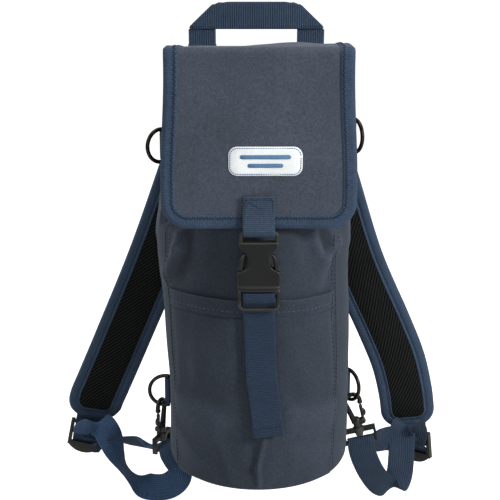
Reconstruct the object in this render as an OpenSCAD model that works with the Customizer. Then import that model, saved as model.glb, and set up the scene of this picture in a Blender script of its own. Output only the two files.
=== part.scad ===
// Backpack carrier for a small medical oxygen cylinder.
// Frame: the origin is the centre of the base on the base plane, +Z is up,
// the flap and its buckle face -Y, and the wearer's back is on the +Y side.
// Left is -X and right is +X. All lengths are in millimetres.

/* [Body] */
// Half of the body's width
body_r = 80; // [79:0.5:82]
// Height of the mouth's rim above the base
rim_z = 352; // [345:1:354]
// Thickness of the outer woven fabric
fabric_t = 1.5; // [1.2:0.1:1.8]
// Thickness of the foam in the wall
foam_t = 4; // [3:0.5:4.5]
// Angle of the front panel's left seam from the front
seam_left = 61; // [58:1:63]
// Angle of the front panel's right seam from the front
seam_right = 52; // [50:1:58]

/* [Pocket] */
// Height of the pocket's top edge
pocket_top = 172; // [165:1:176]

/* [Flap] */
// Half of the flap's width at the fold
flap_top_hw = 72; // [70:1:74]
// Half of the flap's width near its lower edge
flap_low_hw = 76; // [74:1:78]
// Height of the flap's lower edge
flap_low_z = 234; // [233.5:0.5:236]
// Width of the binding tape that shows on the flap
tape_w = 10; // [8:0.5:12]

/* [Webbing] */
// Width of the webbing
web_w = 25; // [24:0.5:25]
// Thickness of one layer of webbing
web_t = 1.4; // [1.2:0.1:1.4]

/* [Straps] */
// Half of the shoulder pad's width, without its binding
pad_hw = 24; // [22:0.5:26]
// Thickness of the shoulder pad's foam
pad_foam = 7; // [6:0.5:8]

/* [Rings] */
// Radius of the ring's wire
wire_r = 1.8; // [1.6:0.1:1.9]
// Swing of the upper left ring towards the front
swing_ul = 42; // [20:1:60]
// Swing of the upper right ring towards the front
swing_ur = 66; // [20:1:70]
// Swing of the lower right ring towards the front
swing_lr = 55; // [50:1:58]

/* [Hidden] */
$fn = 48;
NODES = ["front_panel", "left_side_panel", "right_side_panel", "back_panel", "base_panel",
  "base_board", "foam_liner", "inner_lining", "rim_binding", "pocket_panel", "pocket_hem",
  "back_mesh_pad", "shoulder_yoke", "handle_anchor", "front_strap_fixed",
  "upper_left_ring_tab", "upper_right_ring_tab", "lower_left_ring_tab", "lower_right_ring_tab",
  "flap_top_panel", "flap_top_binding", "flap_front_panel", "flap_front_stiffener",
  "flap_front_binding", "label_patch", "flap_tab_web", "buckle_receiver", "buckle_insert",
  "buckle_arm_left", "buckle_arm_right", "front_strap_tail", "carry_handle",
  "upper_left_ring", "upper_right_ring", "lower_left_ring", "lower_right_ring",
  "left_hook_base", "right_hook_base", "left_hook", "right_hook",
  "left_hook_gate", "right_hook_gate",
  "left_pad_mesh", "left_pad_foam", "left_pad_cover", "left_pad_binding",
  "left_slider_tab", "left_slider", "left_adjuster_web",
  "right_pad_mesh", "right_pad_foam", "right_pad_cover", "right_pad_binding",
  "right_slider_tab", "right_slider", "right_adjuster_web"];
node = "all";

navy = [0.16, 0.19, 0.24];
blue = [0.12, 0.2, 0.32];
black = [0.03, 0.03, 0.03];
foam_grey = [0.35, 0.35, 0.36];
lining_grey = [0.1, 0.1, 0.12];

gap = 0.15;      // clearance between neighbouring layers
tab_gap = 0.07;  // clearance between a webbing tab and its bar

// ---- curves and outlines ----
function unit(v) = v / norm(v);
function reversed(list) = [for (i = [len(list) - 1 : -1 : 0]) list[i]];
function item(value, i) = is_list(value) ? value[i] : value;
function catmull_rom(before, start, end, after, t) =
  0.5 * (2 * start + (end - before) * t
    + (2 * before - 5 * start + 4 * end - after) * t * t
    + (3 * start - before - 3 * end + after) * t * t * t);
// a smooth curve through the points, with the given steps between two of them
function spline(points, steps) = let (last = len(points) - 1) [
  for (i = [0 : last - 1]) for (j = [0 : steps - 1])
    catmull_rom(points[max(i - 1, 0)], points[i], points[i + 1],
      points[min(i + 2, last)], j / steps),
  points[last]];
function tangent(curve, i) = unit(curve[min(i + 1, len(curve) - 1)] - curve[max(i - 1, 0)]);
function arc(centre, radius, start) =
  [for (angle = [start : 15 : start + 90]) centre + radius * [cos(angle), sin(angle)]];
// a rounded rectangle from the centres of its low left and high right corners
function round_rect(low, high, radius) = concat(
  arc(high, radius, 0), arc([low[0], high[1]], radius, 90),
  arc(low, radius, 180), arc([high[0], low[1]], radius, 270));
// a whole outline from its right half
function with_mirror(half) = concat(half, reversed([for (p = half) [-p[0], p[1]]]));

// ---- shared solids ----
// a closed solid through sections, each a list of points clockwise as seen along the way
module loft(sections) {
  m = len(sections[0]);
  n = len(sections);
  polyhedron(
    points = [for (section = sections) for (p = section) p],
    faces = concat(
      [for (j = [1 : m - 2]) [0, j, j + 1]],
      [for (j = [1 : m - 2]) [(n - 1) * m, (n - 1) * m + j + 1, (n - 1) * m + j]],
      [for (i = [0 : n - 2]) for (j = [0 : m - 1])
        [i * m + (j + 1) % m, i * m + j, (i + 1) * m + j]],
      [for (i = [0 : n - 2]) for (j = [0 : m - 1])
        [i * m + (j + 1) % m, (i + 1) * m + j, (i + 1) * m + (j + 1) % m]]));
}

// a strip along a curve; its width runs along the directions in dirs, from edge0 to edge1,
// and its thickness from low to high. Each edge is a number or a list along the curve.
module strip(curve, dirs, edge0, edge1, low, high) {
  loft([for (i = [0 : len(curve) - 1])
    let (
      along = tangent(curve, i),
      across = unit(dirs[i] - (dirs[i] * along) * along),
      normal = cross(along, across),
      side0 = curve[i] + across * item(edge0, i),
      side1 = curve[i] + across * item(edge1, i))
    [side1 + normal * high, side0 + normal * high, side0 + normal * low, side1 + normal * low]]);
}

// webbing through 3D points, whose width runs along the directions in dirs
module webbing(points, dirs) {
  strip(spline(points, 4), spline(dirs, 4), -web_w / 2, web_w / 2, -web_t / 2, web_t / 2);
}

// webbing centred on x = 0, whose path is a list of [y, z]
module flat_web(path, steps = 6) {
  curve = spline(path, steps);
  last = len(curve) - 1;
  shift = [for (i = [0 : last]) let (t = tangent(curve, i)) [-t[1], t[0]] * web_t / 2];
  translate([-web_w / 2, 0, 0]) rotate([90, 0, 90]) linear_extrude(web_w)
    polygon(concat([for (i = [0 : last]) curve[i] + shift[i]],
      reversed([for (i = [0 : last]) curve[i] - shift[i]])));
}

// an upright plate with an outline of [x, z], between y0 and y1
module xz_plate(outline, y0, y1) {
  translate([0, y1, 0]) rotate([90, 0, 0]) linear_extrude(y1 - y0) polygon(outline);
}

// a round bar along x, centred on x = 0
module x_bar(y, z, radius, length) {
  translate([-length / 2, y, z]) rotate([0, 90, 0]) cylinder(r = radius, h = length);
}

// two cubes, mirrored in x, with their inner faces at inner_x
module cube_pair(inner_x, y, z, size) {
  for (x = [-inner_x - size[0], inner_x]) translate([x, y, z]) cube(size);
}

// shapes are drawn for the right; side is -1 for left and 1 for right
module on_side(side) {
  mirror([side < 0 ? 1 : 0, 0, 0]) children();
}

// ---- body ----
front_y = 4;      // centre of the round front
side_y = 40;      // centre of the back corners
corner_r = 32;
back_y = side_y + corner_r;
side_x = body_r - corner_r;
back_seam = 52;   // angle of the back seams on the back corners
wall_z = 2.2;     // lower edge of the outer panels
back_top = 362;
liner_z = 5;      // lower edge of the foam and the lining
liner_top = rim_z - 0.2;
liner_inset = fabric_t + gap;
lining_inset = liner_inset + foam_t + gap;
lining_t = 0.8;
wall_t = lining_inset + lining_t;

// points on the outline, inset from the body's outside
function front_pt(inset, angle) =
  [(body_r - inset) * sin(angle), front_y - (body_r - inset) * cos(angle)];
function corner_pt(inset, angle, side) =
  [side * (side_x + (corner_r - inset) * cos(angle)), side_y + (corner_r - inset) * sin(angle)];
function body_outline(inset) = concat(
  [for (a = [-90 : 6 : 90]) front_pt(inset, a)],
  [for (a = [0 : 9 : 90]) corner_pt(inset, a, 1)],
  [for (a = [90 : -9 : 0]) corner_pt(inset, a, -1)]);
function front_run(inset, start, end) =
  [for (i = [0 : 24]) front_pt(inset, start + (end - start) * i / 24)];
function side_run(inset, side, seam) = concat(
  [for (i = [0 : 8]) front_pt(inset, side * (seam + (90 - seam) * i / 8))],
  [for (i = [0 : 6]) corner_pt(inset, back_seam * i / 6, side)]);
function back_run(inset) = let (start = back_seam + 0.6) concat(
  [for (i = [0 : 5]) corner_pt(inset, start + (90 - start) * i / 5, 1)],
  [for (i = [5 : -1 : 0]) corner_pt(inset, start + (90 - start) * i / 5, -1)]);

// an upright wall between two runs of points
module sheet(outer, inner, z0, z1) {
  translate([0, 0, z0]) linear_extrude(z1 - z0) polygon(concat(outer, reversed(inner)));
}
// a wall on the round front that ends seam_gap degrees short of both seams
module front_sheet(outer, inner, seam_gap, z0, z1) {
  start = seam_gap - seam_left;
  end = seam_right - seam_gap;
  sheet(front_run(outer, start, end), front_run(inner, start, end), z0, z1);
}
module side_sheet(side, seam) {
  sheet(side_run(0, side, seam + 0.1), side_run(fabric_t, side, seam + 0.1), wall_z, rim_z);
}
module ring_sheet(outer, inner, z0, z1) {
  translate([0, 0, z0]) linear_extrude(z1 - z0) difference() {
    polygon(body_outline(outer));
    polygon(body_outline(inner));
  }
}

module front_panel() { color(navy) front_sheet(0, fabric_t, 0.3, wall_z, rim_z); }
module left_side_panel() { color(navy) side_sheet(-1, seam_left); }
module right_side_panel() { color(navy) side_sheet(1, seam_right); }
module back_panel() { color(navy) sheet(back_run(0), back_run(fabric_t), wall_z, back_top); }
module base_panel() { color(navy) linear_extrude(2) polygon(body_outline(0)); }
module base_board() {
  color(black) translate([0, 0, 2.3]) linear_extrude(2.5) polygon(body_outline(fabric_t + 0.5));
}
module foam_liner() {
  color(foam_grey) ring_sheet(liner_inset, liner_inset + foam_t, liner_z, liner_top);
}
module inner_lining() {
  color(lining_grey) ring_sheet(lining_inset, wall_t, liner_z, liner_top);
}
// the rim's tape runs inside the back panel, which stands higher
module rim_binding() {
  color(blue) difference() {
    ring_sheet(0, wall_t, rim_z + gap, rim_z + 2.2);
    translate([0, 0, rim_z - 1]) linear_extrude(5) difference() {
      translate([-90, 63.5]) square([180, 20]);
      polygon(body_outline(fabric_t + gap));
    }
  }
}

// ---- pocket and back ----
pocket_t = 1.2;
pocket_face = -gap - pocket_t;  // inset of the pocket's outer face
hem_face = pocket_face - gap;   // inset of the hem's inner face
module pocket_panel() { color(navy) front_sheet(pocket_face, -gap, 1, 6, pocket_top); }
module pocket_hem() {
  color(navy) front_sheet(hem_face - 1.15, hem_face, 3, pocket_top - 14, pocket_top);
}
module back_mesh_pad() {
  color(black) xz_plate(round_rect([-34, 24], [34, 258], 12), back_y + gap, back_y + gap + 4);
}
module shoulder_yoke() {
  color(blue) translate([-46, back_y + gap, 339.8]) cube([92, 1.6, 8]);
}

// ---- handle ----
handle_y = back_y + 2.4;
handle_left = -62.5;
handle_right = 60;
fold_low = 380;  // outer end of the slanting folds
module handle_anchor() {
  color(blue) for (x = [handle_left, handle_right - web_w])
    translate([x, back_y + gap, 348.5]) cube([web_w, web_t, 12.5]);
}
// the legs lie on the +Y side of the band and join it along the slanting folds
module carry_handle() {
  inner_left = handle_left + web_w;
  inner_right = handle_right - web_w;
  band = [[handle_left, fold_low], [inner_left, 405], [inner_right, 405],
    [handle_right, fold_low]];
  color(blue) {
    xz_plate(band, handle_y - web_t - 0.1, handle_y);
    for (leg = [[handle_left, inner_left], [handle_right, inner_right]])
      xz_plate([[leg[0], 363], [leg[1], 363], [leg[1], 403.5], [leg[0], fold_low]],
        handle_y, handle_y + web_t);
  }
}

// ---- flap ----
flap_back = -79;   // y of the front part's back face
flap_t = 3.2;
flap_face = flap_back - flap_t;
flap_fold_z = 366.5;
flap_corner_r = 20;
flap_slope = 4.6;  // the top falls a little towards the back
flap_depth = 140.6;
skin_inset = 1.2;  // from the binding's edge to the fabric's
tape_t = 1.1;      // the binding's thickness round the edge

function flap_edge(inset) =
  let (r = flap_corner_r - inset, x = flap_low_hw - inset - r, z = flap_low_z + inset + r)
  concat([[inset - flap_top_hw, flap_fold_z]], arc([-x, z], r, 180), arc([x, z], r, 270),
    [[flap_top_hw - inset, flap_fold_z]]);
// the flap's outline carried on above the fold, for cutting
function flap_cut(inset) = let (x = flap_top_hw - inset)
  concat([[-x, 380]], flap_edge(inset), [[x, 380]]);

module on_top() {
  translate([0, 66, 358.9]) rotate([-flap_slope, 0, 0]) translate([0, -143, 0]) children();
}
module flap_top_panel() {
  x = flap_top_hw - skin_inset;
  color(navy) on_top() translate([-x, 0, 0]) cube([2 * x, flap_depth, 3]);
}
module flap_top_binding() {
  x = flap_top_hw - tape_w;
  color(blue) for (side = [-1, 1]) on_side(side) on_top() difference() {
    translate([x, 0, -0.8]) cube([tape_w, flap_depth, 4.6]);
    translate([x - 1, -2, -0.1]) cube([tape_w + 1 - tape_t, 147, 3.2]);
  }
}
// the outer and the inner fabric
module flap_front_panel() {
  color(navy) {
    xz_plate(flap_edge(skin_inset), flap_face + 0.3, flap_face + 1.4);
    xz_plate(flap_edge(skin_inset), flap_back - 1, flap_back - 0.3);
  }
}
module flap_front_stiffener() {
  color(foam_grey) xz_plate(flap_edge(3), flap_face + 1.5, flap_back - 1.1);
}
module flap_front_binding() {
  color(blue) difference() {
    xz_plate(flap_edge(0), flap_face - 0.6, flap_back + 0.6);
    xz_plate(flap_cut(tape_t), flap_face + 0.2, flap_back - 0.2);
    xz_plate(flap_cut(tape_w), flap_face - 5, flap_back + 5);
  }
}
module label_patch() {
  color("white") xz_plate(round_rect([-17, 283], [27, 292], 8), flap_face - 0.4, flap_face + 0.2);
}

// ---- buckle and front strap ----
buckle_y = -87.2;   // centre plane of the buckle
bar_z = 230.6;      // the receiver's webbing bar
mouth_z = 187.6;    // lower edge of the receiver
buckle_hw = 17.2;
buckle_t = 9.2;
buckle_bar_r = 1.9;
cavity_t = 5.8;
arm_t = 4.8;
arm_z = mouth_z + 1.6;
fixed_strap_y = -79.9;
tail_y = -81.7;

// [y, z]: down from the flap, round the receiver's bar and up again
tab_path = [
  [flap_face - 0.7 - web_t / 2, 260], [flap_face - 1.5, 250], [flap_face - 1.6, 240],
  [buckle_y + 3.4, 235.5], [buckle_y + 2.85, bar_z], [buckle_y + 2.02, bar_z - 2.02],
  [buckle_y, bar_z - 2.85],
  [buckle_y - 2.02, bar_z - 2.02], [buckle_y - 2.85, bar_z], [buckle_y - 2.2, 235.5],
  [flap_face - 3.6, 240], [flap_face - 3.3, 250], [flap_face - 3.2, 260]];
// [y, z]: round the insert's bar and behind its lower bar
tail_path = [
  [-81.9, 172.6], [-82.3, 177], [-83.5, 181.2], [-86.6, 182.2], [-89.6, 181.2],
  [-90.4, 178.6], [-89.6, 175.4], [-86.6, 172.8], [-83.9, 170.4], [-83.6, 166],
  [-82.2, 160], [tail_y, 150], [tail_y, 111]];
// right half of the receiver's shell, [x, z]: shoulder, waist beside the window, mouth
shell_half = [
  [15.8, 224], [15.2, 220.8], [12.6, 219.2], [9.4, 216.8], [8.6, 212], [8.6, 206.5],
  [9.6, 203.6], [13.5, 201.4], [16.4, 199.6], [buckle_hw, 197], [buckle_hw, mouth_z]];
// right spring arm, [x, z]
arm_outline = [
  [11.4, arm_z], [14.9, arm_z], [14.9, 199.6], [14.9, 200.7], [16.7, 200.7],
  [16.6, 205], [15.4, 209], [13, 212.6], [10.6, 214.4], [9.6, 213.6],
  [11.2, 209], [12, 204], [12, 196], [11.4, 190]];

module buckle_plate(outline, thickness) {
  xz_plate(outline, buckle_y - thickness / 2, buckle_y + thickness / 2);
}
module flap_tab_web() { color(blue) flat_web(tab_path); }
module buckle_receiver() {
  color(black) difference() {
    union() {
      // frame round the webbing slot
      cube_pair(13, buckle_y - 2, 222, [2.8, 4, 9.5]);
      x_bar(buckle_y, bar_z, buckle_bar_r, 31);
      buckle_plate(with_mirror(shell_half), buckle_t);
    }
    // cavity for the tongue and the arms, open at the mouth and at the windows
    translate([-15.4, buckle_y - cavity_t / 2, mouth_z - 1]) cube([30.8, cavity_t, 14.2]);
    translate([-20, buckle_y - cavity_t / 2, 200.2]) cube([40, cavity_t, 17]);
    // cut across the shell's top edge, below the bar
    translate([-13, buckle_y - 6, 223.1]) cube([26, 12, 3]);
  }
}
module buckle_insert() {
  color(black) {
    buckle_plate(with_mirror([[buckle_hw, 183.6], [buckle_hw, mouth_z - 0.3]]), buckle_t);
    cube_pair(13.4, buckle_y - 4, 167, [3.8, 8, 18]);
    x_bar(buckle_y + 0.6, 178.6, buckle_bar_r, 30);
    translate([-buckle_hw, buckle_y - 2.6, 166.9]) cube([2 * buckle_hw, 3.4, 3]);
    // tongue
    buckle_plate(with_mirror([[3.6, mouth_z - 1], [3.6, 211], [2, 214]]), 4.2);
    // guide rails beside the tongue
    cube_pair(6, buckle_y - 1.6, mouth_z - 1, [1.6, 3.2, 7]);
  }
}
module spring_arm(side) {
  on_side(side) {
    buckle_plate(arm_outline, arm_t);
    translate([13.1, buckle_y + arm_t / 2, arm_z]) rotate([90, 0, 0])
      cylinder(r = 1.75, h = arm_t);
  }
}
module buckle_arm_left() { color(black) spring_arm(-1); }
module buckle_arm_right() { color(black) spring_arm(1); }
module front_strap_fixed() {
  color(blue) flat_web([for (z = [166, 150, 130, 108]) [fixed_strap_y, z]], 2);
}
module front_strap_tail() {
  color(blue) {
    flat_web(tail_path, 5);
    // slanting loose end
    translate([0, tail_y, 111.5]) rotate([-3, -6, 0])
      translate([-web_w / 2 + 0.2, -web_t / 2, -57]) cube([web_w, web_t, 58]);
  }
}

// ---- rings ----
ring_x = body_r + 4.5;
ring_y = 44;
ring_r = 14.6;       // the bow's radius and half of the straight bar
ring_straight = 3;   // from the bar to the bow's centre
upper_left_z = 280;
upper_right_z = 289;
lower_left_z = 46;
lower_right_z = 53;
swing_ll = 0;        // the lower left ring isn't swung

module d_ring() {
  cylinder(r = wire_r, h = 2 * ring_r, center = true);
  for (end = [-1, 1]) translate([0, 0, end * ring_r]) {
    sphere(wire_r);
    rotate([0, 90, 0]) cylinder(r = wire_r, h = ring_straight);
  }
  translate([ring_straight, 0, 0]) rotate([0, 90, 0]) rotate([90, 0, 0])
    rotate_extrude(angle = 180) translate([ring_r, 0]) circle(wire_r);
}
module at_ring(side, z) {
  translate([side * ring_x, ring_y, z]) on_side(side) children();
}
module placed_ring(side, z, swing) { at_ring(side, z) rotate([0, 0, -swing]) d_ring(); }
module ring_tab(side, z) {
  at_ring(side, z) difference() {
    union() {
      cylinder(r = wire_r + tab_gap + web_t, h = web_w, center = true);
      rotate([0, 0, 24.8]) translate([-web_t, 0, -web_w / 2]) cube([2 * web_t, 15.5, web_w]);
    }
    cylinder(r = wire_r + tab_gap, h = web_w + 2, center = true);
  }
}
module upper_left_ring_tab() { color(blue) ring_tab(-1, upper_left_z); }
module upper_right_ring_tab() { color(blue) ring_tab(1, upper_right_z); }
module lower_left_ring_tab() { color(blue) ring_tab(-1, lower_left_z); }
module lower_right_ring_tab() { color(blue) ring_tab(1, lower_right_z); }
module upper_left_ring() { color(black) placed_ring(-1, upper_left_z, swing_ul); }
module upper_right_ring() { color(black) placed_ring(1, upper_right_z, swing_ur); }
module lower_left_ring() { color(black) placed_ring(-1, lower_left_z, swing_ll); }
module lower_right_ring() { color(black) placed_ring(1, lower_right_z, swing_lr); }

// ---- snap hooks, drawn with the eye's centre at the origin ----
eye_r = 7;
hook_r = 2.1;
hook_l = 22;   // length of the hook's back
gate_x = 6.4;
gate_z = 1.2 - hook_l;
base_t = 4.4;

module hook_shape() {
  rotate([90, 0, 0]) rotate([0, 0, -15]) rotate_extrude(angle = 195)
    translate([eye_r, 0]) circle(hook_r);
  translate([eye_r * cos(15), 0, -eye_r * sin(15)]) sphere(2.5);
  translate([-eye_r, 0, 0]) sphere(hook_r);
  translate([-eye_r, 0, 0]) rotate([0, -13, 0]) translate([0, 0, -hook_l])
    cylinder(r1 = 2.9, r2 = hook_r, h = hook_l);
  translate([0, 0, -hook_l - 3.8]) cylinder(r = 3.9, h = 6.3);
  translate([0, 0, -hook_l + 2.5]) sphere(3.9);
  // the stem and the head that keeps it in the swivel base
  translate([0, 0, -hook_l - 10.5]) cylinder(r = 2.4, h = 8);
  translate([0, 0, -hook_l - 12.4]) cylinder(r = 3.7, h = 2.6);
}
module gate_shape() {
  translate([gate_x, 0, gate_z]) rotate([90, 0, 0]) cylinder(r = 2.1, h = 4.6, center = true);
  translate([gate_x, 0, gate_z]) rotate([0, 0.6, 0]) cylinder(r = 1.45, h = hook_l - 7.8);
  translate([gate_x + 0.2, 0, -6.6]) sphere(1.7);
  translate([gate_x, -2, -16]) cube([4, 4, 6.4]);
}
module base_shape() {
  difference() {
    union() {
      translate([0, 0, -hook_l - 9.4]) cylinder(r = 5, h = 5.3);
      translate([-15.9, -base_t / 2, -hook_l - 9.2]) cube([31.8, base_t, 4.2]);
    }
    translate([0, 0, -hook_l - 14]) cylinder(r = 2.46, h = 12);
  }
  // the frame's sides and its webbing bar
  cube_pair(13.4, -base_t / 2, -hook_l - 20.5, [2.5, base_t, 13]);
  x_bar(0, -hook_l - 18.5, 2, 30);
}

// a point on a ring's bow, at an angle from its lowest point
function ring_point(side, z, swing, angle) =
  let (reach = ring_straight + ring_r * sin(angle))
  [side * (ring_x + reach * cos(swing)), ring_y - reach * sin(swing), z - ring_r * cos(angle)];
hang = eye_r - hook_r - wire_r - 0.35;  // from the ring's wire down to the eye's centre
left_eye = ring_point(-1, lower_left_z, swing_ll, 16) - [0, 0, hang - 0.1];
right_eye = ring_point(1, lower_right_z, swing_lr, 24) - [0, 0, hang - 0.6];
right_twist = 8;  // turn of the right hook in its base
module at_left_hook() { translate(left_eye) rotate([0, 0, 248]) children(); }
module at_right_hook(twist = 0) {
  translate(right_eye) rotate([0, -13, 0]) rotate([0, 0, twist]) children();
}
module left_hook_base() { color(black) at_left_hook() base_shape(); }
module right_hook_base() { color(black) at_right_hook() base_shape(); }
module left_hook() { color(black) at_left_hook() hook_shape(); }
module right_hook() { color(black) at_right_hook(right_twist) hook_shape(); }
module left_hook_gate() { color(black) at_left_hook() gate_shape(); }
module right_hook_gate() { color(black) at_right_hook(right_twist) gate_shape(); }

// ---- shoulder pads ----
// centre lines of the pads from the yoke down, [x, y, z]
left_run = [
  [-38, 77.5, 331], [-50, 80, 296], [-69, 84, 241], [-98, 86.5, 163],
  [-134, 88.5, 78], [-151, 89, 39], [-160, 89, 18], [-163, 89, 2]];
right_run = [
  [38, 77.5, 331], [50, 80, 296], [68.5, 84, 241], [94, 86.5, 163], [123, 88.5, 98],
  [138, 89, 62], [146, 89, 32], [149.5, 89, 10], [151, 89, -7]];
pad_round = 17;   // length of the pad's rounded lower end
foam_face = pad_foam / 2;

function pad_curve(run) = spline(run, 5);
function run_length(curve, i) =
  i == 0 ? 0 : run_length(curve, i - 1) + norm(curve[i] - curve[i - 1]);
// for each point, the rest of the curve as a share of the rounded end
function end_shares(curve) = let (total = run_length(curve, len(curve) - 1))
  [for (i = [0 : len(curve) - 1]) (total - run_length(curve, i)) / pad_round];
// half widths of the pad: full, then rounded at its lower end
function pad_half(curve, half_w) = [for (share = end_shares(curve))
  share >= 1 ? half_w
    : max(0.34, sqrt(max(0, 1 - pow(1 - share, 2)))) * (half_w - 8) + 8];
// the binding's line on one side, moved out by 1.6 at the rounded end
function pad_edge(run, side) =
  let (curve = pad_curve(run), half = pad_half(curve, pad_hw + 1.5), shares = end_shares(curve))
  [for (i = [0 : len(curve) - 1])
    let (along = tangent(curve, i), across = unit([1, 0, 0] - along[0] * along))
    curve[i] + side * half[i] * across + along * 1.6 * max(0, 1 - shares[i])];

// the strip's normal points to -Y, so the mesh, nearest the bag, has positive offsets
module pad_layer(run, low, high) {
  curve = pad_curve(run);
  half = pad_half(curve, pad_hw);
  strip(curve, [for (p = curve) [1, 0, 0]], -half, half, low, high);
}
module pad_mesh(run) { color(black) pad_layer(run, foam_face + 0.2, foam_face + 1.8); }
module pad_foam_core(run) { color(foam_grey) pad_layer(run, -foam_face, foam_face); }
module pad_cover(run) { color(navy) pad_layer(run, -foam_face - 1.4, -foam_face - 0.2); }
module pad_binding(run) {
  edge = concat(pad_edge(run, -1), reversed(pad_edge(run, 1)));
  color(blue)
    strip(edge, [for (p = edge) [0, 1, 0]], -foam_face - 1.7, foam_face + 1.3, -1.1, 1.1);
}
module left_pad_mesh() { pad_mesh(left_run); }
module left_pad_foam() { pad_foam_core(left_run); }
module left_pad_cover() { pad_cover(left_run); }
module left_pad_binding() { pad_binding(left_run); }
module right_pad_mesh() { pad_mesh(right_run); }
module right_pad_foam() { pad_foam_core(right_run); }
module right_pad_cover() { pad_cover(right_run); }
module right_pad_binding() { pad_binding(right_run); }

// ---- strap sliders, drawn with the upper bar at the origin ----
slider_bar_r = 1.8;
module slider_shape() {
  cube_pair(13.6, -2.4, -25, [3.4, 4.8, 27]);
  x_bar(0, 0, slider_bar_r, 30);
  x_bar(0, -11, 1.7, 30);
  // lower plate with a rounded edge
  intersection() {
    translate([-17, -2.4, -32]) cube([34, 3, 11]);
    translate([0, 5, -10]) rotate([90, 0, 0]) cylinder(r = 21.5, h = 12);
  }
}
module slider_tab_shape() {
  difference() {
    union() {
      x_bar(0, 0, slider_bar_r + tab_gap + web_t, web_w);
      translate([-web_w / 2, -web_t, 0]) cube([web_w, 2 * web_t, 5.4]);
    }
    x_bar(0, 0, slider_bar_r + tab_gap, web_w + 2);
  }
}
module at_left_slider() { translate([-168.5, 89, -7]) rotate([0, 12, 0]) children(); }
module at_right_slider() {
  translate([158, 89, -16.5]) rotate([0, -6, 0]) rotate([0, 0, -40]) children();
}
module left_slider_tab() { color(blue) at_left_slider() slider_tab_shape(); }
module left_slider() { color(black) at_left_slider() slider_shape(); }
module right_slider_tab() { color(blue) at_right_slider() slider_tab_shape(); }
module right_slider() { color(black) at_right_slider() slider_shape(); }

// ---- adjuster webbing ----
// From the slider, over the pad's end, down in a loop, round the hook's bar and back.
// Each loop is a list of [x, y, z], with the width's direction at the same places.
left_loop = [
  [-170.5, 83.5, -17], [-169, 80.5, -10], [-164, 75.5, -3], [-156.5, 71.8, 0.5],
  [-150, 69, -3], [-145, 67.6, -12], [-140, 66, -25], [-133, 60, -39], [-120, 53, -50],
  [-105, 47, -55], [-88, 41, -53], [-77, 39, -44], [-77, 41, -33], [-83, 42.5, -24],
  [-87.4, 42.5, -17], [-88.6, 42.8, -11.3], [-89.4, 43.1, -9.1], [-91.5, 44, -8.2],
  [-93.6, 44.9, -9.1], [-95.9, 46.1, -10.4], [-101, 50.5, -13.5], [-114, 61, -15],
  [-131, 68, -17], [-148, 77.6, -22], [-153, 81.6, -23.6]];
left_dirs = [
  [1, 0, -0.2], [1, 0, -0.1], [1, 0, 0], [1, 0, 0],
  [1, 0, 0], [0.95, 0.1, 0.3], [0.8, 0.4, 0.45], [0.6, 0.6, 0.55], [0.3, 0.5, 0.8],
  [0, 0.35, 0.93], [-0.1, 0.2, 0.97], [-0.5, 0, 0.8], [-0.9, -0.3, 0.3], [-0.6, -0.8, 0.1],
  [-0.375, -0.927, 0], [-0.375, -0.927, 0], [-0.375, -0.927, 0], [-0.375, -0.927, 0],
  [-0.375, -0.927, 0], [-0.37, -0.92, 0.05], [-0.3, -0.85, 0.4], [-0.1, -0.75, 0.65],
  [0, -0.95, 0.25], [0.4, -0.8, 0], [0.6, -0.6, 0]];
right_loop = [
  [156, 83.3, -24], [156.6, 80, -14.5], [155, 73.6, -6], [150, 69.2, -2.5],
  [144, 67, -4.5], [142, 66, -14], [142, 60, -28], [141, 53.5, -45], [134, 47, -55],
  [122, 41, -53], [109, 36, -37], [102, 33.6, -20], [99.2, 33.5, -9],
  [98.5, 33.9, -0.9], [97.9, 36.7, 2], [98.5, 39.5, -0.9], [103, 43, -5.5],
  [118, 55, -10], [130, 65, -13], [144, 77, -22], [152, 84.4, -27.7]];
right_dirs = [
  [0.77, -0.64, 0], [0.8, -0.5, 0.1], [0.9, -0.3, 0.2], [0.95, 0, 0.3],
  [1, 0, 0.1], [1, 0, 0], [1, 0, 0], [1, 0.1, 0.1], [0.95, 0.1, 0.33],
  [0.95, 0.1, 0.3], [0.97, 0, 0.25], [0.974, 0, 0.225], [0.974, 0, 0.225],
  [0.974, 0, 0.225], [0.974, 0, 0.225], [0.974, 0, 0.225], [0.8, 0, 0.5],
  [0.2, 0, 0.95], [0, -0.1, 1], [0.3, -0.3, 0.9], [0.5, -0.45, 0.55]];
module left_adjuster_web() { color(blue) webbing(left_loop, left_dirs); }
module right_adjuster_web() { color(blue) webbing(right_loop, right_dirs); }

// ---- nodes ----
function shown(name) = node == "all" || node == name;
if (shown("front_panel")) front_panel();
if (shown("left_side_panel")) left_side_panel();
if (shown("right_side_panel")) right_side_panel();
if (shown("back_panel")) back_panel();
if (shown("base_panel")) base_panel();
if (shown("base_board")) base_board();
if (shown("foam_liner")) foam_liner();
if (shown("inner_lining")) inner_lining();
if (shown("rim_binding")) rim_binding();
if (shown("pocket_panel")) pocket_panel();
if (shown("pocket_hem")) pocket_hem();
if (shown("back_mesh_pad")) back_mesh_pad();
if (shown("shoulder_yoke")) shoulder_yoke();
if (shown("handle_anchor")) handle_anchor();
if (shown("front_strap_fixed")) front_strap_fixed();
if (shown("upper_left_ring_tab")) upper_left_ring_tab();
if (shown("upper_right_ring_tab")) upper_right_ring_tab();
if (shown("lower_left_ring_tab")) lower_left_ring_tab();
if (shown("lower_right_ring_tab")) lower_right_ring_tab();
if (shown("flap_top_panel")) flap_top_panel();
if (shown("flap_top_binding")) flap_top_binding();
if (shown("flap_front_panel")) flap_front_panel();
if (shown("flap_front_stiffener")) flap_front_stiffener();
if (shown("flap_front_binding")) flap_front_binding();
if (shown("label_patch")) label_patch();
if (shown("flap_tab_web")) flap_tab_web();
if (shown("buckle_receiver")) buckle_receiver();
if (shown("buckle_insert")) buckle_insert();
if (shown("buckle_arm_left")) buckle_arm_left();
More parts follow.
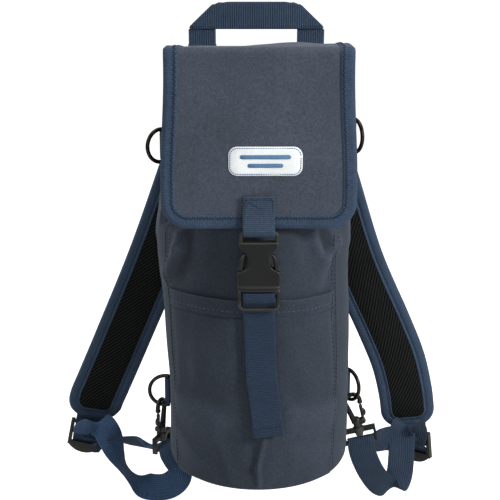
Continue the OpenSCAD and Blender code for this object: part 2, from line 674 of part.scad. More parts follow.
if (shown("buckle_arm_right")) buckle_arm_right();
if (shown("front_strap_tail")) front_strap_tail();
if (shown("carry_handle")) carry_handle();
if (shown("upper_left_ring")) upper_left_ring();
if (shown("upper_right_ring")) upper_right_ring();
if (shown("lower_left_ring")) lower_left_ring();
if (shown("lower_right_ring")) lower_right_ring();
if (shown("left_hook_base")) left_hook_base();
if (shown("right_hook_base")) right_hook_base();
if (shown("left_hook")) left_hook();
if (shown("right_hook")) right_hook();
if (shown("left_hook_gate")) left_hook_gate();
if (shown("right_hook_gate")) right_hook_gate();
if (shown("left_pad_mesh")) left_pad_mesh();
if (shown("left_pad_foam")) left_pad_foam();
if (shown("left_pad_cover")) left_pad_cover();
if (shown("left_pad_binding")) left_pad_binding();
if (shown("left_slider_tab")) left_slider_tab();
if (shown("left_slider")) left_slider();
if (shown("left_adjuster_web")) left_adjuster_web();
if (shown("right_pad_mesh")) right_pad_mesh();
if (shown("right_pad_foam")) right_pad_foam();
if (shown("right_pad_cover")) right_pad_cover();
if (shown("right_pad_binding")) right_pad_binding();
if (shown("right_slider_tab")) right_slider_tab();
if (shown("right_slider")) right_slider();
if (shown("right_adjuster_web")) right_adjuster_web();
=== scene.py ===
"""A rucksack with a folding flap, a front pocket, a buckled front strap, a carry handle and two
shoulder pads with adjusters that hook to side rings.

It stands on its base at z = 0 with the front towards -y and the left towards -x. Shapes are in
millimetres and become metres in make(); lights, camera and blend places are in metres.
"""
import math

import bpy
import numpy as np
from mathutils import Matrix, Vector, noise


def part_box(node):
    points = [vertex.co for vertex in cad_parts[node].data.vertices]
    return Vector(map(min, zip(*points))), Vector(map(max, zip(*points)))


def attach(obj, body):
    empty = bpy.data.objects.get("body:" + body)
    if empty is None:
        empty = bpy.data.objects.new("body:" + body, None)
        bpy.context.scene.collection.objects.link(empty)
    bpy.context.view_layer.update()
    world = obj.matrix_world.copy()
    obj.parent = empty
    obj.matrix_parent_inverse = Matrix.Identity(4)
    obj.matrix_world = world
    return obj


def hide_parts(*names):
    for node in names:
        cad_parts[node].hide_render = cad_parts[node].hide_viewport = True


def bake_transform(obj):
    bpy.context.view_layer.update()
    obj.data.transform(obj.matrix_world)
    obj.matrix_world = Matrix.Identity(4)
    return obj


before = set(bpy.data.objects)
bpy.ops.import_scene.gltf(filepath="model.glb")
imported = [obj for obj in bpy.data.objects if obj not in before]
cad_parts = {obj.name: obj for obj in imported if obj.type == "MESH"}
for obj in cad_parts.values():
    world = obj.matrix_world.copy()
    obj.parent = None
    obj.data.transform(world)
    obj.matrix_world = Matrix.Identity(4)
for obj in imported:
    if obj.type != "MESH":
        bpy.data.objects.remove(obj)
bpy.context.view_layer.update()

MM = 0.001
scene = bpy.context.scene


# ------------------------------------------------------------------ curves and numbers
def unit(vectors):
    vectors = np.asarray(vectors, float)
    lengths = np.linalg.norm(vectors, axis=-1, keepdims=True)
    return vectors / np.where(lengths < 1e-12, 1, lengths)


def square_to(vectors, axes):
    """Unit vectors with their part along axes taken out."""
    return unit(vectors - np.sum(vectors * axes, 1, keepdims=True) * axes)


def spline(points, samples):
    """Catmull-Rom curve through the points, with so many samples per span."""
    points = np.asarray(points, float)
    last = len(points) - 1
    curve = []
    for i in range(last):
        before, start = points[max(i - 1, 0)], points[i]
        end, after = points[i + 1], points[min(i + 2, last)]
        for j in range(samples):
            t = j / samples
            curve.append(0.5 * (2 * start + (end - before) * t
                                + (2 * before - 5 * start + 4 * end - after) * t * t
                                + (3 * start - before - 3 * end + after) * t ** 3))
    curve.append(points[-1])
    return np.array(curve)


def arc_lengths(points):
    return np.r_[0, np.cumsum(np.linalg.norm(np.diff(points, axis=0), axis=1))]


def interp_rows(at, known, rows):
    """Each column of rows, known at the places known, interpolated at the places at."""
    return np.stack([np.interp(at, known, column) for column in np.asarray(rows).T], -1)


def resample(points, step):
    points = np.asarray(points, float)
    arc = arc_lengths(points)
    count = max(2, int(round(arc[-1] / step)) + 1)
    return interp_rows(np.linspace(0, arc[-1], count), arc, points)


def straight(start, end):
    return resample([start, end], 1.0)


def tangents(curve):
    along = np.empty_like(curve)
    along[1:-1] = curve[2:] - curve[:-2]
    along[0] = curve[1] - curve[0]
    along[-1] = curve[-1] - curve[-2]
    return unit(along)


def smooth(low, high, x):
    t = np.clip((np.asarray(x, float) - low) / (high - low), 0, 1)
    return t * t * (3 - 2 * t)


def bell(distance, width):
    return np.exp(-(distance / width) ** 2)


def noise_at(x, y, z, seed=0.0):
    return noise.noise(Vector((x + seed * 17.3, y - seed * 9.1, z + seed * 5.7)))


def rounded_half(half, radius, into):
    """Half width of a strip with a rounded end, at a depth into the end's corners."""
    if into <= 0:
        return half
    return half - radius + radius * math.sqrt(max(0.0, 1 - (into / radius) ** 2))


def grid_at(grid, row, column, wrap=False):
    """Bilinear value of grid at a fractional row and column; wrap closes the columns."""
    i = int(min(max(math.floor(row), 0), len(grid) - 2))
    j = int(math.floor(column))
    if not wrap:
        j = min(j, grid.shape[1] - 2)
    down, right = row - i, column - j
    j %= grid.shape[1]
    k = (j + 1) % grid.shape[1]
    return ((grid[i, j] * (1 - down) + grid[i + 1, j] * down) * (1 - right)
            + (grid[i, k] * (1 - down) + grid[i + 1, k] * down) * right)


# ------------------------------------------------------------------ meshes
def make(name, verts, faces, uvs, material, slot=None, body=None, replaces=(), worn=None):
    """An object from vertices and per-vertex cloth coordinates, both in millimetres."""
    mesh = bpy.data.meshes.new(name)
    mesh.from_pydata([tuple(float(c) * MM for c in v) for v in verts], [],
                     [tuple(int(i) for i in face) for face in faces])
    if uvs is not None:
        layer = mesh.uv_layers.new(name="cloth")
        uvs = np.asarray(uvs, float) * MM
        corners = np.empty(len(mesh.loops), np.int32)
        mesh.loops.foreach_get("vertex_index", corners)
        layer.data.foreach_set("uv", uvs[corners].astype(np.float32).ravel())
    # painted light and shade per vertex, which the cloth material reads
    if worn is not None:
        attribute = mesh.attributes.new("worn", "FLOAT", "POINT")
        attribute.data.foreach_set("value", np.asarray(worn, np.float32).ravel())
    mesh.validate()
    mesh.update()
    mesh.polygons.foreach_set("use_smooth", [True] * len(mesh.polygons))
    made = bpy.data.objects.new(name, mesh)
    scene.collection.objects.link(made)
    mesh.materials.append(material)
    if body:
        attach(made, body)
    if replaces:
        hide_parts(*replaces)
    return made


def grid_faces(rows, columns, closed=False, flip=False, start=0, ring=False):
    """Quads of a grid; closed joins its last column to the first, ring its last row."""
    faces = []
    for i in range(rows if ring else rows - 1):
        below = (i + 1) % rows
        for j in range(columns if closed else columns - 1):
            k = (j + 1) % columns
            quad = tuple(start + n for n in (i * columns + j, i * columns + k,
                                             below * columns + k, below * columns + j))
            faces.append(quad[::-1] if flip else quad)
    return faces


def two_skins(near, far):
    return np.concatenate([near.reshape(-1, 3), far.reshape(-1, 3)])


def sheet_grid(rows, columns, station):
    """Grid of station(row, column): near point, far point and cloth u, v in one row of 8."""
    return np.array([[station(row, column) for column in columns] for row in rows])


def sheet(name, grid, material, **told):
    """A closed solid between the near and far open grids of a sheet grid."""
    n, m = grid.shape[:2]
    far = n * m
    faces = grid_faces(n, m) + grid_faces(n, m, flip=True, start=far)
    for i in range(n - 1):
        a, b = i * m, (i + 1) * m
        faces.append((a, b, far + b, far + a))
        a, b = a + m - 1, b + m - 1
        faces.append((b, a, far + a, far + b))
    for j in range(m - 1):
        faces.append((j + 1, j, far + j, far + j + 1))
        a = (n - 1) * m + j
        faces.append((a, a + 1, far + a + 1, far + a))
    uvs = np.concatenate([grid[..., 6:].reshape(-1, 2)] * 2)
    return make(name, two_skins(grid[..., :3], grid[..., 3:6]), faces, uvs, material, **told)


def wall(name, outer, inner, uv, material, **told):
    """A standing wall, closed all round, between an outer and an inner grid."""
    n, m = outer.shape[:2]
    far = n * m
    faces = grid_faces(n, m, closed=True) + grid_faces(n, m, closed=True, flip=True, start=far)
    for j in range(m):
        k = (j + 1) % m
        faces.append((k, j, far + j, far + k))
        faces.append((far - m + j, far - m + k, 2 * far - m + k, 2 * far - m + j))
    uvs = np.concatenate([uv.reshape(-1, 2)] * 2)
    return make(name, two_skins(outer, inner), faces, uvs, material, **told)


def loft(sections):
    """A closed tube through closed rings, with both ends capped."""
    sections = np.asarray(sections, float)
    n, m = sections.shape[:2]
    faces = grid_faces(n, m, closed=True)
    faces.append(tuple(range(m - 1, -1, -1)))
    faces.append(tuple((n - 1) * m + j for j in range(m)))
    return sections.reshape(-1, 3), faces


# ring stations of one stitch: share of its length, share of its radius, lift in radii
STITCH_RINGS = ((0.0, 0.25, -0.35), (0.12, 0.8, 0.05), (0.5, 1.0, 0.3), (0.88, 0.8, 0.05),
                (1.0, 0.25, -0.35))
STITCH_FLATNESS = 0.6
FIRST_STITCH = 0.4
SEAM_THREAD = dict(length=2.6, gap=1.2, radius=0.38, lift=0.08)
BOX_THREAD = dict(length=1.9, gap=0.7, radius=0.33)


class Pieces:
    """Many small closed pieces in one mesh."""

    def __init__(self):
        self.verts, self.faces = [], []

    def add(self, verts, faces):
        start = len(self.verts)
        self.verts.extend(verts)
        self.faces += [tuple(i + start for i in face) for face in faces]

    def stitch(self, start, end, up, radius):
        """One thread stitch lying on a surface whose normal is up."""
        along = unit(end - start)
        side = unit(np.cross(along, up))
        up = np.cross(side, along)
        rings = []
        for share, size, lift in STITCH_RINGS:
            centre = start + (end - start) * share + up * lift * radius
            rings.append([centre + (side * math.cos(a) + up * math.sin(a) * STITCH_FLATNESS)
                          * radius * size for a in (2 * math.pi * q / 6 for q in range(6))])
        self.add(*loft(rings))

    def row(self, points, normals, length, gap, radius, lift, zigzag=0.0):
        """A row of stitches along points; normals is one per point, or one for all."""
        points = np.asarray(points, float)
        normals = np.broadcast_to(np.asarray(normals, float), points.shape)
        arc = arc_lengths(points)
        place, turn = FIRST_STITCH, -1
        while place + length < arc[-1]:
            start, end = (interp_rows(s, arc, points) for s in (place, place + length))
            up = unit(unit(interp_rows(place, arc, normals))
                      + unit(interp_rows(place + length, arc, normals)))
            side = unit(np.cross(end - start, up)) * zigzag * turn
            self.stitch(start + up * lift + side, end + up * lift - side, up, radius)
            place += length + gap
            turn = -turn

    def make(self, name, material, body=None, slot="blue_webbing", replaces=()):
        return make(name, self.verts, self.faces, None, material, slot, body, replaces)


# ------------------------------------------------------------------ shader nodes
def srgb(*levels):
    """Linear colour from 0-255 levels."""
    shares = [level / 255.0 for level in levels]
    return tuple(c / 12.92 if c <= 0.04045 else ((c + 0.055) / 1.055) ** 2.4
                 for c in shares) + (1.0,)


def scaled(colour, gain):
    return tuple(c * gain for c in colour[:3]) + (1.0,)


class Nodes:
    """Builds shader nodes; a socket given as a value is linked, anything else is set."""

    def __init__(self, tree):
        self.tree = tree

    def node(self, kind):
        return self.tree.nodes.new("ShaderNode" + kind)

    def feed(self, socket, value):
        if isinstance(value, bpy.types.NodeSocket):
            self.tree.links.new(value, socket)
        else:
            socket.default_value = value

    def math(self, operation, *values, clamp=False):
        node = self.node("Math")
        node.operation = operation
        node.use_clamp = clamp
        for socket, value in zip(node.inputs, values):
            self.feed(socket, value)
        return node.outputs[0]

    def add(self, a, b, clamp=False):
        return self.math("ADD", a, b, clamp=clamp)

    def sub(self, a, b):
        return self.math("SUBTRACT", a, b)

    def mul(self, a, b, clamp=False):
        return self.math("MULTIPLY", a, b, clamp=clamp)

    def spread(self, value, gain):
        """A 0-1 value centred on zero and scaled."""
        return self.mul(self.sub(value, 0.5), gain)

    def wave(self, length, pitch):
        """Sine along a length, with its pitch in millimetres."""
        return self.math("SINE", self.mul(length, 2 * math.pi / (pitch * MM)))

    def mix(self, factor, a, b, blend="MIX"):
        node = self.node("Mix")
        node.data_type = "RGBA"
        node.blend_type = blend
        for name, value in (("Factor", factor), ("A", a), ("B", b)):
            self.feed([s for s in node.inputs if s.name == name and s.enabled][0], value)
        return [s for s in node.outputs if s.enabled][0]

    def shade(self, base, level):
        """base multiplied by a grey level."""
        grey = self.node("CombineColor")
        for i in range(3):
            self.feed(grey.inputs[i], level)
        return self.mix(1.0, base, grey.outputs[0], "MULTIPLY")


class Material(Nodes):
    def __init__(self, name):
        self.made = bpy.data.materials.new(name)
        self.made.use_nodes = True
        super().__init__(self.made.node_tree)
        self.bsdf = self.tree.nodes["Principled BSDF"]
        self.place = self.node("TexCoord").outputs["Object"]

    def cloth_uv(self):
        uv_map = self.node("UVMap")
        uv_map.uv_map = "cloth"
        split = self.node("SeparateXYZ")
        self.feed(split.inputs[0], uv_map.outputs[0])
        return split.outputs[0], split.outputs[1]

    def noise(self, scale, detail, roughness, vector=None):
        node = self.node("TexNoise")
        for name, value in (("Scale", scale), ("Detail", detail), ("Roughness", roughness),
                            ("Vector", vector or self.place)):
            self.feed(node.inputs[name], value)
        return node.outputs["Fac"]

    def pointiness(self):
        return self.node("NewGeometry").outputs["Pointiness"]

    def two_tone(self, pattern, colour, contrast, slow, drift):
        """Darker and lighter threads by the pattern, drifting slowly over the cloth."""
        share = self.add(self.mul(pattern, 0.9), 0.5, clamp=True)
        base = self.mix(share, scaled(colour, 1 - contrast), scaled(colour, 1 + contrast))
        return self.shade(base, self.add(self.spread(slow, drift), 1.0))

    def surface(self, values):
        for name, value in values.items():
            self.feed(self.bsdf.inputs[name], value)

    def bump(self, height, strength, distance, normal=None):
        node = self.node("Bump")
        node.inputs["Strength"].default_value = strength
        node.inputs["Distance"].default_value = distance
        self.feed(node.inputs["Height"], height)
        if normal is not None:
            self.feed(node.inputs["Normal"], normal)
        self.feed(self.bsdf.inputs["Normal"], node.outputs[0])


# ------------------------------------------------------------------ materials
def canvas(name, colour, weave, bump, contrast=0.3, sheen=0.1):
    """Plain weave, heathered; a per-vertex attribute paints highlight on the fold crests and shade
    in the creases.
    """
    mat = Material(name)
    u, v = mat.cloth_uv()
    cell = mat.mul(mat.wave(u, weave), mat.wave(v, weave))     # over and under
    fine = mat.noise(scale=620.0, detail=3.0, roughness=0.7)   # single threads
    stretch = mat.node("Mapping")                              # uneven threads, scaled in z
    stretch.inputs["Scale"].default_value = (1.0, 1.0, 2.6)
    mat.feed(stretch.inputs["Vector"], mat.place)
    slub = mat.noise(scale=330.0, detail=3.0, roughness=0.65, vector=stretch.outputs[0])
    slow = mat.noise(scale=22.0, detail=3.0, roughness=0.5)
    # shares of the weave, the threads and the slubs in the relief, then in the colour
    height = mat.add(mat.add(mat.mul(cell, 0.35), mat.mul(fine, 1.1)), mat.mul(slub, 0.5))
    pattern = mat.add(mat.add(mat.spread(fine, 2.6), mat.spread(slub, 1.1)),
                      mat.mul(cell, 0.22))
    base = mat.two_tone(pattern, colour, contrast, slow, drift=0.5)
    worn = mat.node("Attribute")
    worn.attribute_name = "worn"
    uneven = mat.add(mat.mul(slub, 0.6), 0.7)                  # painted fold light and shade, stronger on the slubs
    base = mat.shade(base, mat.add(mat.mul(worn.outputs["Fac"], uneven), 1.0))
    mat.surface({"Base Color": base, "Roughness": 0.88, "Specular IOR Level": 0.25,
                 "Sheen Weight": sheen, "Sheen Roughness": 0.45,
                 "Sheen Tint": (0.75, 0.82, 1.0, 1.0)})
    mat.bump(height, strength=bump, distance=0.0004)
    return mat.made


def ribbed(name, colour, pitch, across, contrast, bump, roughness=0.7):
    """Webbing or grosgrain: ribs at one pitch across u or v, with small picks over them."""
    mat = Material(name)
    u, v = mat.cloth_uv()
    over, along = (u, v) if across == "u" else (v, u)
    rib = mat.wave(over, pitch)
    # picks 0.85 mm apart, pushed along by the ribs
    pick = mat.math("SINE", mat.add(mat.mul(along, 2 * math.pi / (0.85 * MM)),
                                    mat.mul(rib, 1.4)))
    fine = mat.noise(scale=620.0, detail=3.0, roughness=0.7)
    slow = mat.noise(scale=45.0, detail=3.0, roughness=0.5)
    # shares of the ribs, the picks and the threads in the colour
    pattern = mat.add(mat.add(mat.mul(rib, 0.38), mat.mul(pick, 0.2)), mat.spread(fine, 2.2))
    base = mat.two_tone(pattern, colour, contrast, slow, drift=0.45)
    mat.surface({"Base Color": base, "Roughness": roughness, "Specular IOR Level": 0.3,
                 "Sheen Weight": 0.1, "Sheen Roughness": 0.4,
                 "Sheen Tint": (0.7, 0.82, 1.0, 1.0)})
    height = mat.add(mat.mul(rib, 0.8), mat.add(mat.mul(pick, 0.3), fine))
    mat.bump(height, strength=bump, distance=0.00035)
    return mat.made


def spacer_mesh(name, thread, hole, pitch):
    """Knitted mesh: staggered holes between diagonal threads."""
    mat = Material(name)
    u, v = mat.cloth_uv()
    turns = 2 * math.pi / (pitch * MM)
    across, along = mat.mul(u, turns), mat.mul(v, turns * 0.62)
    rising = mat.math("SINE", mat.add(mat.mul(across, 0.95), along))
    falling = mat.math("SINE", mat.sub(mat.mul(across, 0.95), along))
    # one set of threads is stronger than the other
    net = mat.add(mat.mul(rising, 0.4), mat.add(mat.mul(falling, 0.22), 0.42))
    fine = mat.noise(scale=800.0, detail=2.0, roughness=0.6)
    slow = mat.noise(scale=30.0, detail=2.0, roughness=0.5)
    holes = mat.mul(mat.sub(net, 0.3), 3.5, clamp=True)        # cut-off level, edge hardness
    lit = mat.mul(mat.sub(1.0, holes), mat.add(mat.mul(slow, 0.8), 0.6), clamp=True)
    lit = mat.add(lit, mat.spread(fine, 0.35), clamp=True)
    mat.surface({"Base Color": mat.mix(lit, hole, thread), "Roughness": 0.8,
                 "Specular IOR Level": 0.1, "Sheen Weight": 0.0})
    mat.bump(mat.add(mat.mul(holes, -1.0), mat.mul(fine, 0.3)), strength=0.7, distance=0.0008)
    return mat.made


def plastic(name, colour, bevel, worn):
    """Moulded plastic with softened edges and a painted highlight along them; bevel is its edge
    radius in millimetres.
    """
    mat = Material(name)
    grain = mat.noise(scale=1400.0, detail=2.0, roughness=0.6)
    cloud = mat.noise(scale=90.0, detail=3.0, roughness=0.6)
    # painted highlight on the edges, by pointiness above a level, broken up by the cloud
    edge = mat.mul(mat.sub(mat.pointiness(), 0.505), 16.0, clamp=True)
    edge = mat.mul(edge, mat.add(cloud, 0.3), clamp=True)
    base = mat.mix(mat.mul(edge, worn), colour, srgb(104, 102, 98))
    base = mat.mix(mat.mul(cloud, 0.35), base, scaled(colour, 1.6))
    mat.surface({"Base Color": base, "Roughness": mat.add(mat.mul(cloud, 0.22), 0.26),
                 "Specular IOR Level": 0.28})
    soft = mat.node("Bevel")
    soft.samples = 4
    soft.inputs["Radius"].default_value = bevel * MM
    mat.bump(grain, strength=0.12, distance=0.0002, normal=soft.outputs[0])
    return mat.made


def metal(name, colour):
    """Dark metal with cloudy wear and fine scratches."""
    mat = Material(name)
    cloud = mat.noise(scale=160.0, detail=4.0, roughness=0.65)
    scratches = mat.noise(scale=1200.0, detail=3.0, roughness=0.7)
    wear = mat.mul(mat.sub(cloud, 0.55), 5.0, clamp=True)      # wear level, edge hardness
    base = mat.mix(mat.mul(wear, 0.4), colour, (0.16, 0.145, 0.12, 1))
    mat.surface({"Base Color": base, "Metallic": 0.75,
                 "Roughness": mat.add(mat.mul(cloud, 0.25), 0.22)})
    mat.bump(scratches, strength=0.15, distance=0.00015)
    return mat.made


FLAP_CANVAS = canvas("flap_canvas", srgb(60, 66, 77), weave=1.0, bump=0.35)
BODY_CANVAS = canvas("body_canvas", srgb(43, 50, 60), weave=1.0, bump=0.25, contrast=0.28)
COVER_CANVAS = canvas("pad_cover_canvas", srgb(36, 43, 57), weave=1.0, bump=0.25,
                      contrast=0.25)
LINING = canvas("lining_cloth", srgb(26, 27, 31), weave=0.7, bump=0.12, contrast=0.2,
                sheen=0.05)
TAPE = ribbed("binding_tape", srgb(44, 61, 82), pitch=1.3, across="v", contrast=0.36,
              bump=0.5, roughness=0.8)
WEB = ribbed("strap_webbing", srgb(30, 48, 68), pitch=2.05, across="u", contrast=0.34,
             bump=0.55)
# one adjuster webbing in copies: lighter for the lit left loop, darker as painted shade for the
# left return and the right adjuster
LOOP_WEB, SHADED_RETURN_WEB, SHADED_RIGHT_LOOP_WEB = (
    ribbed(name, srgb(*levels), pitch=2.05, across="u", contrast=0.36, bump=0.55)
    for name, levels in (("loop_webbing", (49, 74, 105)), ("shaded_return_webbing", (33, 50, 71)),
                         ("shaded_right_loop_webbing", (28, 44, 63))))
FRONT_WEB = ribbed("front_strap_webbing", srgb(22, 40, 61), pitch=1.45, across="v",
                   contrast=0.42, bump=0.6)
TAB_WEB = ribbed("tab_webbing", srgb(40, 57, 77), pitch=1.6, across="v", contrast=0.42,
                 bump=0.6)
HANDLE_WEB = ribbed("handle_webbing", srgb(40, 57, 77), pitch=2.0, across="v", contrast=0.5,
                    bump=0.7)
MESH = spacer_mesh("pad_spacer_mesh", thread=srgb(30, 32, 31), hole=srgb(1, 1, 1), pitch=3.1)
# the last number is how strong the painted edge highlight is
PLASTIC = plastic("moulded_black", srgb(10, 11, 11), bevel=0.7, worn=0.42)
SLIDER_PLASTIC = plastic("moulded_black_slider", srgb(4, 5, 6), bevel=0.6, worn=0.25)
RING_METAL = metal("black_ring_metal", srgb(42, 38, 33))
THREAD = canvas("thread_blue", srgb(64, 84, 112), weave=0.4, bump=0.1, contrast=0.2)
DARK_THREAD = canvas("thread_dark", srgb(20, 25, 36), weave=0.4, bump=0.1, contrast=0.2)
PATCH = canvas("patch_cloth", srgb(222, 225, 226), weave=0.6, bump=0.3, contrast=0.06,
               sheen=0.05)
PATCH_BLUE = canvas("patch_blue", srgb(84, 118, 150), weave=0.5, bump=0.4, contrast=0.14,
                    sheen=0.05)

# ------------------------------------------------------------------ body outline and folds
FRONT_Y, FRONT_R = 4.0, 80.0                     # front round: centre y and radius
CORNER_X, CORNER_Y, CORNER_R = 48.0, 40.0, 32.0  # back corners: centre and radius
RIM_Z = 352.0
SEAMS = (-61.0, 52.0)                            # front seams, degrees from the front's middle
BACK_SEAM = 52                                   # back seams, degrees round the back corners


def bag_outline(inset, step):
    """Closed outline from the left, round the front to the right and back; its normals, arc."""
    points = []
    for a in np.radians(np.linspace(-90, 90, 181)):
        points.append(((FRONT_R - inset) * math.sin(a), FRONT_Y - (FRONT_R - inset) * math.cos(a)))
    for x, first in ((CORNER_X, 0), (-CORNER_X, 90)):
        for a in np.radians(np.linspace(first, first + 90, 46)):
            points.append((x + (CORNER_R - inset) * math.cos(a),
                           CORNER_Y + (CORNER_R - inset) * math.sin(a)))
    points = np.array(points + points[:1])
    known = arc_lengths(points)
    count = int(round(known[-1] / step))
    arc = np.arange(count) * known[-1] / count
    outline = interp_rows(arc, known, points)
    along = np.roll(outline, -1, 0) - np.roll(outline, 1, 0)
    return outline, unit(np.stack([along[:, 1], -along[:, 0]], 1)), arc


def wall_grid(outline, heights):
    """Grids of the outline's x, y, normal, arc length and height, one row per height."""
    points, normals, arc = outline
    columns = (points[:, 0], points[:, 1], normals[:, 0], normals[:, 1], arc)
    x, y, nx, ny, s = (np.meshgrid(column, heights)[0] for column in columns)
    z = np.meshgrid(arc, heights)[1]
    return np.stack([x, y, z], -1), np.stack([nx, ny, 0 * nx], -1), np.stack([s, z], -1)


def line_offset(u, v, start, end, fade):
    """Offset to the left of a line, and a weight that fades past its ends."""
    start = np.array(start, float)
    way = np.array(end, float) - start
    length = np.linalg.norm(way)
    way = way / length
    du, dv = u - start[0], v - start[1]
    along = du * way[0] + dv * way[1]
    weight = (bell(np.clip(-along, 0, None), fade)
              * bell(np.clip(along - length, 0, None), fade))
    return dv * way[0] - du * way[1], weight


def ridge(u, v, start, end, width):
    """1 on the line, falling off over width."""
    offset, weight = line_offset(u, v, start, end, width * 1.6)
    return bell(offset, width) * weight


def crease(x, z, start, end, above, below):
    """1 on a line running towards +x, with its own fall-off above and below it."""
    offset, weight = line_offset(x, z, start, end, 9.0)
    return np.where(offset > 0, bell(offset, above), bell(offset, below)) * weight


def ripple(x, y, z, seed, large, small):
    """Two sizes of noise over grids of places."""
    def one(x, y, z):
        return (large * noise_at(x / 55, y / 55, z / 75, seed)
                + small * noise_at(x / 19, y / 19, z / 27, seed + 3))
    return np.vectorize(one)(x, y, z)


# front folds below the flap: start (x, z), end (x, z), width, height
FRONT_FOLDS = (
    ((-59, 240), (-62, 209), 3.4, 3.6), ((-62, 209), (-73, 180), 3.2, 3.4),
    ((-52, 234), (-60, 188), 4.5, -2.4), ((40, 236), (48.5, 211), 3.4, 3.2),
    ((48.5, 211), (55, 199), 3.2, 2.4), ((56, 240), (65, 210.5), 3.8, 3.4),
    ((65, 210.5), (57, 202), 3.6, 2.6), ((57, 202), (50, 180), 3.6, 2.2),
    ((48, 236), (57, 210), 3.6, -2.6), ((-38, 234), (-44, 200), 5, 1.1),
    ((26, 234), (31, 196), 5, 0.9), ((70, 250), (80, 205), 4, 1.6),
    ((-73, 250), (-79, 215), 4.5, 1.6))
# folds down both sides: start (y, z), end (y, z), width, height
SIDE_FOLDS = (((-5, 330), (20, 240), 6, 1.6), ((40, 300), (10, 190), 7, 1.3),
              ((10, 150), (45, 60), 7, 1.2), ((50, 200), (20, 120), 8, -1.0))


def body_bulge(x, y, z, nx):
    """How far the cloth stands out from the outline, and the painted light and shade on its folds.
    """
    bulge, worn = np.zeros_like(x), np.zeros_like(x)
    low = np.clip((12 - z) / 12, 0, 1)
    bulge -= 8.5 * (1 - np.sqrt(1 - low * low * 0.98))         # rounded edge of the base
    left, right = smooth(-0.35, -0.95, nx), smooth(0.35, 0.95, nx)
    bulge += left * (7.2 * bell(z - 206, 44) + 1.8 * bell(z - 130, 50) - 1.6 * bell(z - 70, 45))
    bulge -= (left + right) * 3.2 * smooth(285, 340, z)
    bulge += right * (1.4 * bell(z - 75, 60) - 1.2 * bell(z - 195, 50))
    bulge += 1.2 * bell(z - 120, 90) * smooth(10, -30, y)
    for start, end, width, height in FRONT_FOLDS:
        fold = ridge(x, z, start, end, width) * (y < 20)
        bulge += height * fold
        # painted highlight along the narrow raised folds, painted shade along the sunk ones
        if width < 4.6:
            strength = (0.26 if height > 0 else 0.3) * np.sign(height)
            worn += strength * fold * min(1.0, abs(height) / 2.6)
            if height > 1.4:
                worn += 0.1 * ridge(x, z, start, end, width * 0.55) * (y < 20)
    for start, end, width, height in SIDE_FOLDS:
        bulge += height * ridge(y, z, start, end, width) * (left + right)
    return bulge, worn


# ------------------------------------------------------------------ body shell
OUTLINE = bag_outline(0.0, 2.2)
outline_xy, outline_normal, outline_arc = OUTLINE
shell_z = np.unique(np.concatenate([np.array([0.8, 1.6, 2.6, 4, 5.6, 7.5, 9.5, 12]),
                                    np.arange(15, 348, 3.2), [RIM_Z - 2, RIM_Z]]))


def build_shell():
    """Outer cloth and foam in one closed wall; gives its outer grid and normals."""
    places, normals, uv = wall_grid(OUTLINE, shell_z)
    x, y, z = np.moveaxis(places, -1, 0)
    # the second grid is painted light and shade on the folds
    bulge, worn = body_bulge(x, y, z, normals[..., 0])
    bulge += (ripple(x, y, z, 1.0, large=1.1, small=0.45)
              * smooth(2, 20, z) * smooth(RIM_Z, RIM_Z - 12, z))
    angle = np.degrees(np.arctan2(x, FRONT_Y - y))
    in_front = y < FRONT_Y + 1
    for seam in SEAMS:                           # a groove with a low ridge on both sides
        gap = (angle - seam) * math.pi / 180 * FRONT_R
        bulge = bulge - 0.9 * bell(gap, 1.1) * in_front
        bulge = bulge + 0.35 * bell(np.abs(gap) - 3.0, 1.6) * in_front
    angle = np.degrees(np.arctan2(y - CORNER_Y, np.abs(x) - CORNER_X))
    groove = bell((angle - BACK_SEAM) * math.pi / 180 * CORNER_R, 1.1)
    bulge = bulge - 0.8 * groove * (y > CORNER_Y) * (np.abs(x) > CORNER_X)
    # the back stays flat where the mesh pad lies; the front keeps clear of flap and buckle
    flat = smooth(CORNER_Y + 20, CORNER_Y + 31, y)
    bulge = bulge * (1 - flat) - 0.3 * flat
    bulge = np.where((z > 226) & (y < -20), np.minimum(bulge, 1.2), bulge)
    outer = places + normals * bulge[..., None]
    inner = outer - normals * (5.0 + bulge * 0.9)[..., None]
    wall("bag_shell", outer, inner, uv, BODY_CANVAS, slot="navy_canvas", body="bag",
         replaces=("front_panel", "left_side_panel", "right_side_panel", "back_panel",
                   "foam_liner"),
         worn=np.concatenate([worn.ravel(), 0 * worn.ravel()]))
    return outer, normals


shell_grid, shell_normals = build_shell()

BASE_CENTRE = np.array([0.0, -2.0])
BASE_THICK = 3.2
# rings of the base cloth: scale about the centre, z
BASE_RINGS = ((1.0, 0.8), (0.985, 0.25), (0.93, 0.0), (0.8, 0.0), (0.6, 0.15), (0.4, 0.3),
              (0.2, 0.35), (0.02, 0.35))


def build_base():
    """A shallow cloth with the board inside."""
    rim = shell_grid[0, :, :2]
    low = np.array([np.column_stack([BASE_CENTRE + (rim - BASE_CENTRE) * scale,
                                     np.full(len(rim), z)]) for scale, z in BASE_RINGS])
    n, m = low.shape[:2]
    far = n * m
    faces = grid_faces(n, m, closed=True) + grid_faces(n, m, closed=True, flip=True, start=far)
    faces.append(tuple(far - m + j for j in range(m)))
    faces.append(tuple(2 * far - 1 - j for j in range(m)))
    for j in range(m):
        k = (j + 1) % m
        faces.append((k, j, far + j, far + k))
    make("base_cloth", two_skins(low, low + [0, 0, BASE_THICK]), faces,
         np.concatenate([low.reshape(-1, 3)[:, :2]] * 2), BODY_CANVAS, slot="navy_canvas",
         body="bag", replaces=("base_panel", "base_board"))


build_base()


def shell_at(arc, z):
    """Point and normal on the outer cloth at an arc length and height."""
    row = np.interp(z, shell_z, np.arange(len(shell_z)))
    column = arc / (outline_arc[1] - outline_arc[0])
    return (grid_at(shell_grid, row, column, wrap=True),
            unit(grid_at(shell_normals, row, column, wrap=True)))


def arc_of(angle):
    """Arc length at a front angle in degrees."""
    return math.radians(angle + 90) * FRONT_R


LINING_INSET, LINING_THICK = 6.9, 0.8


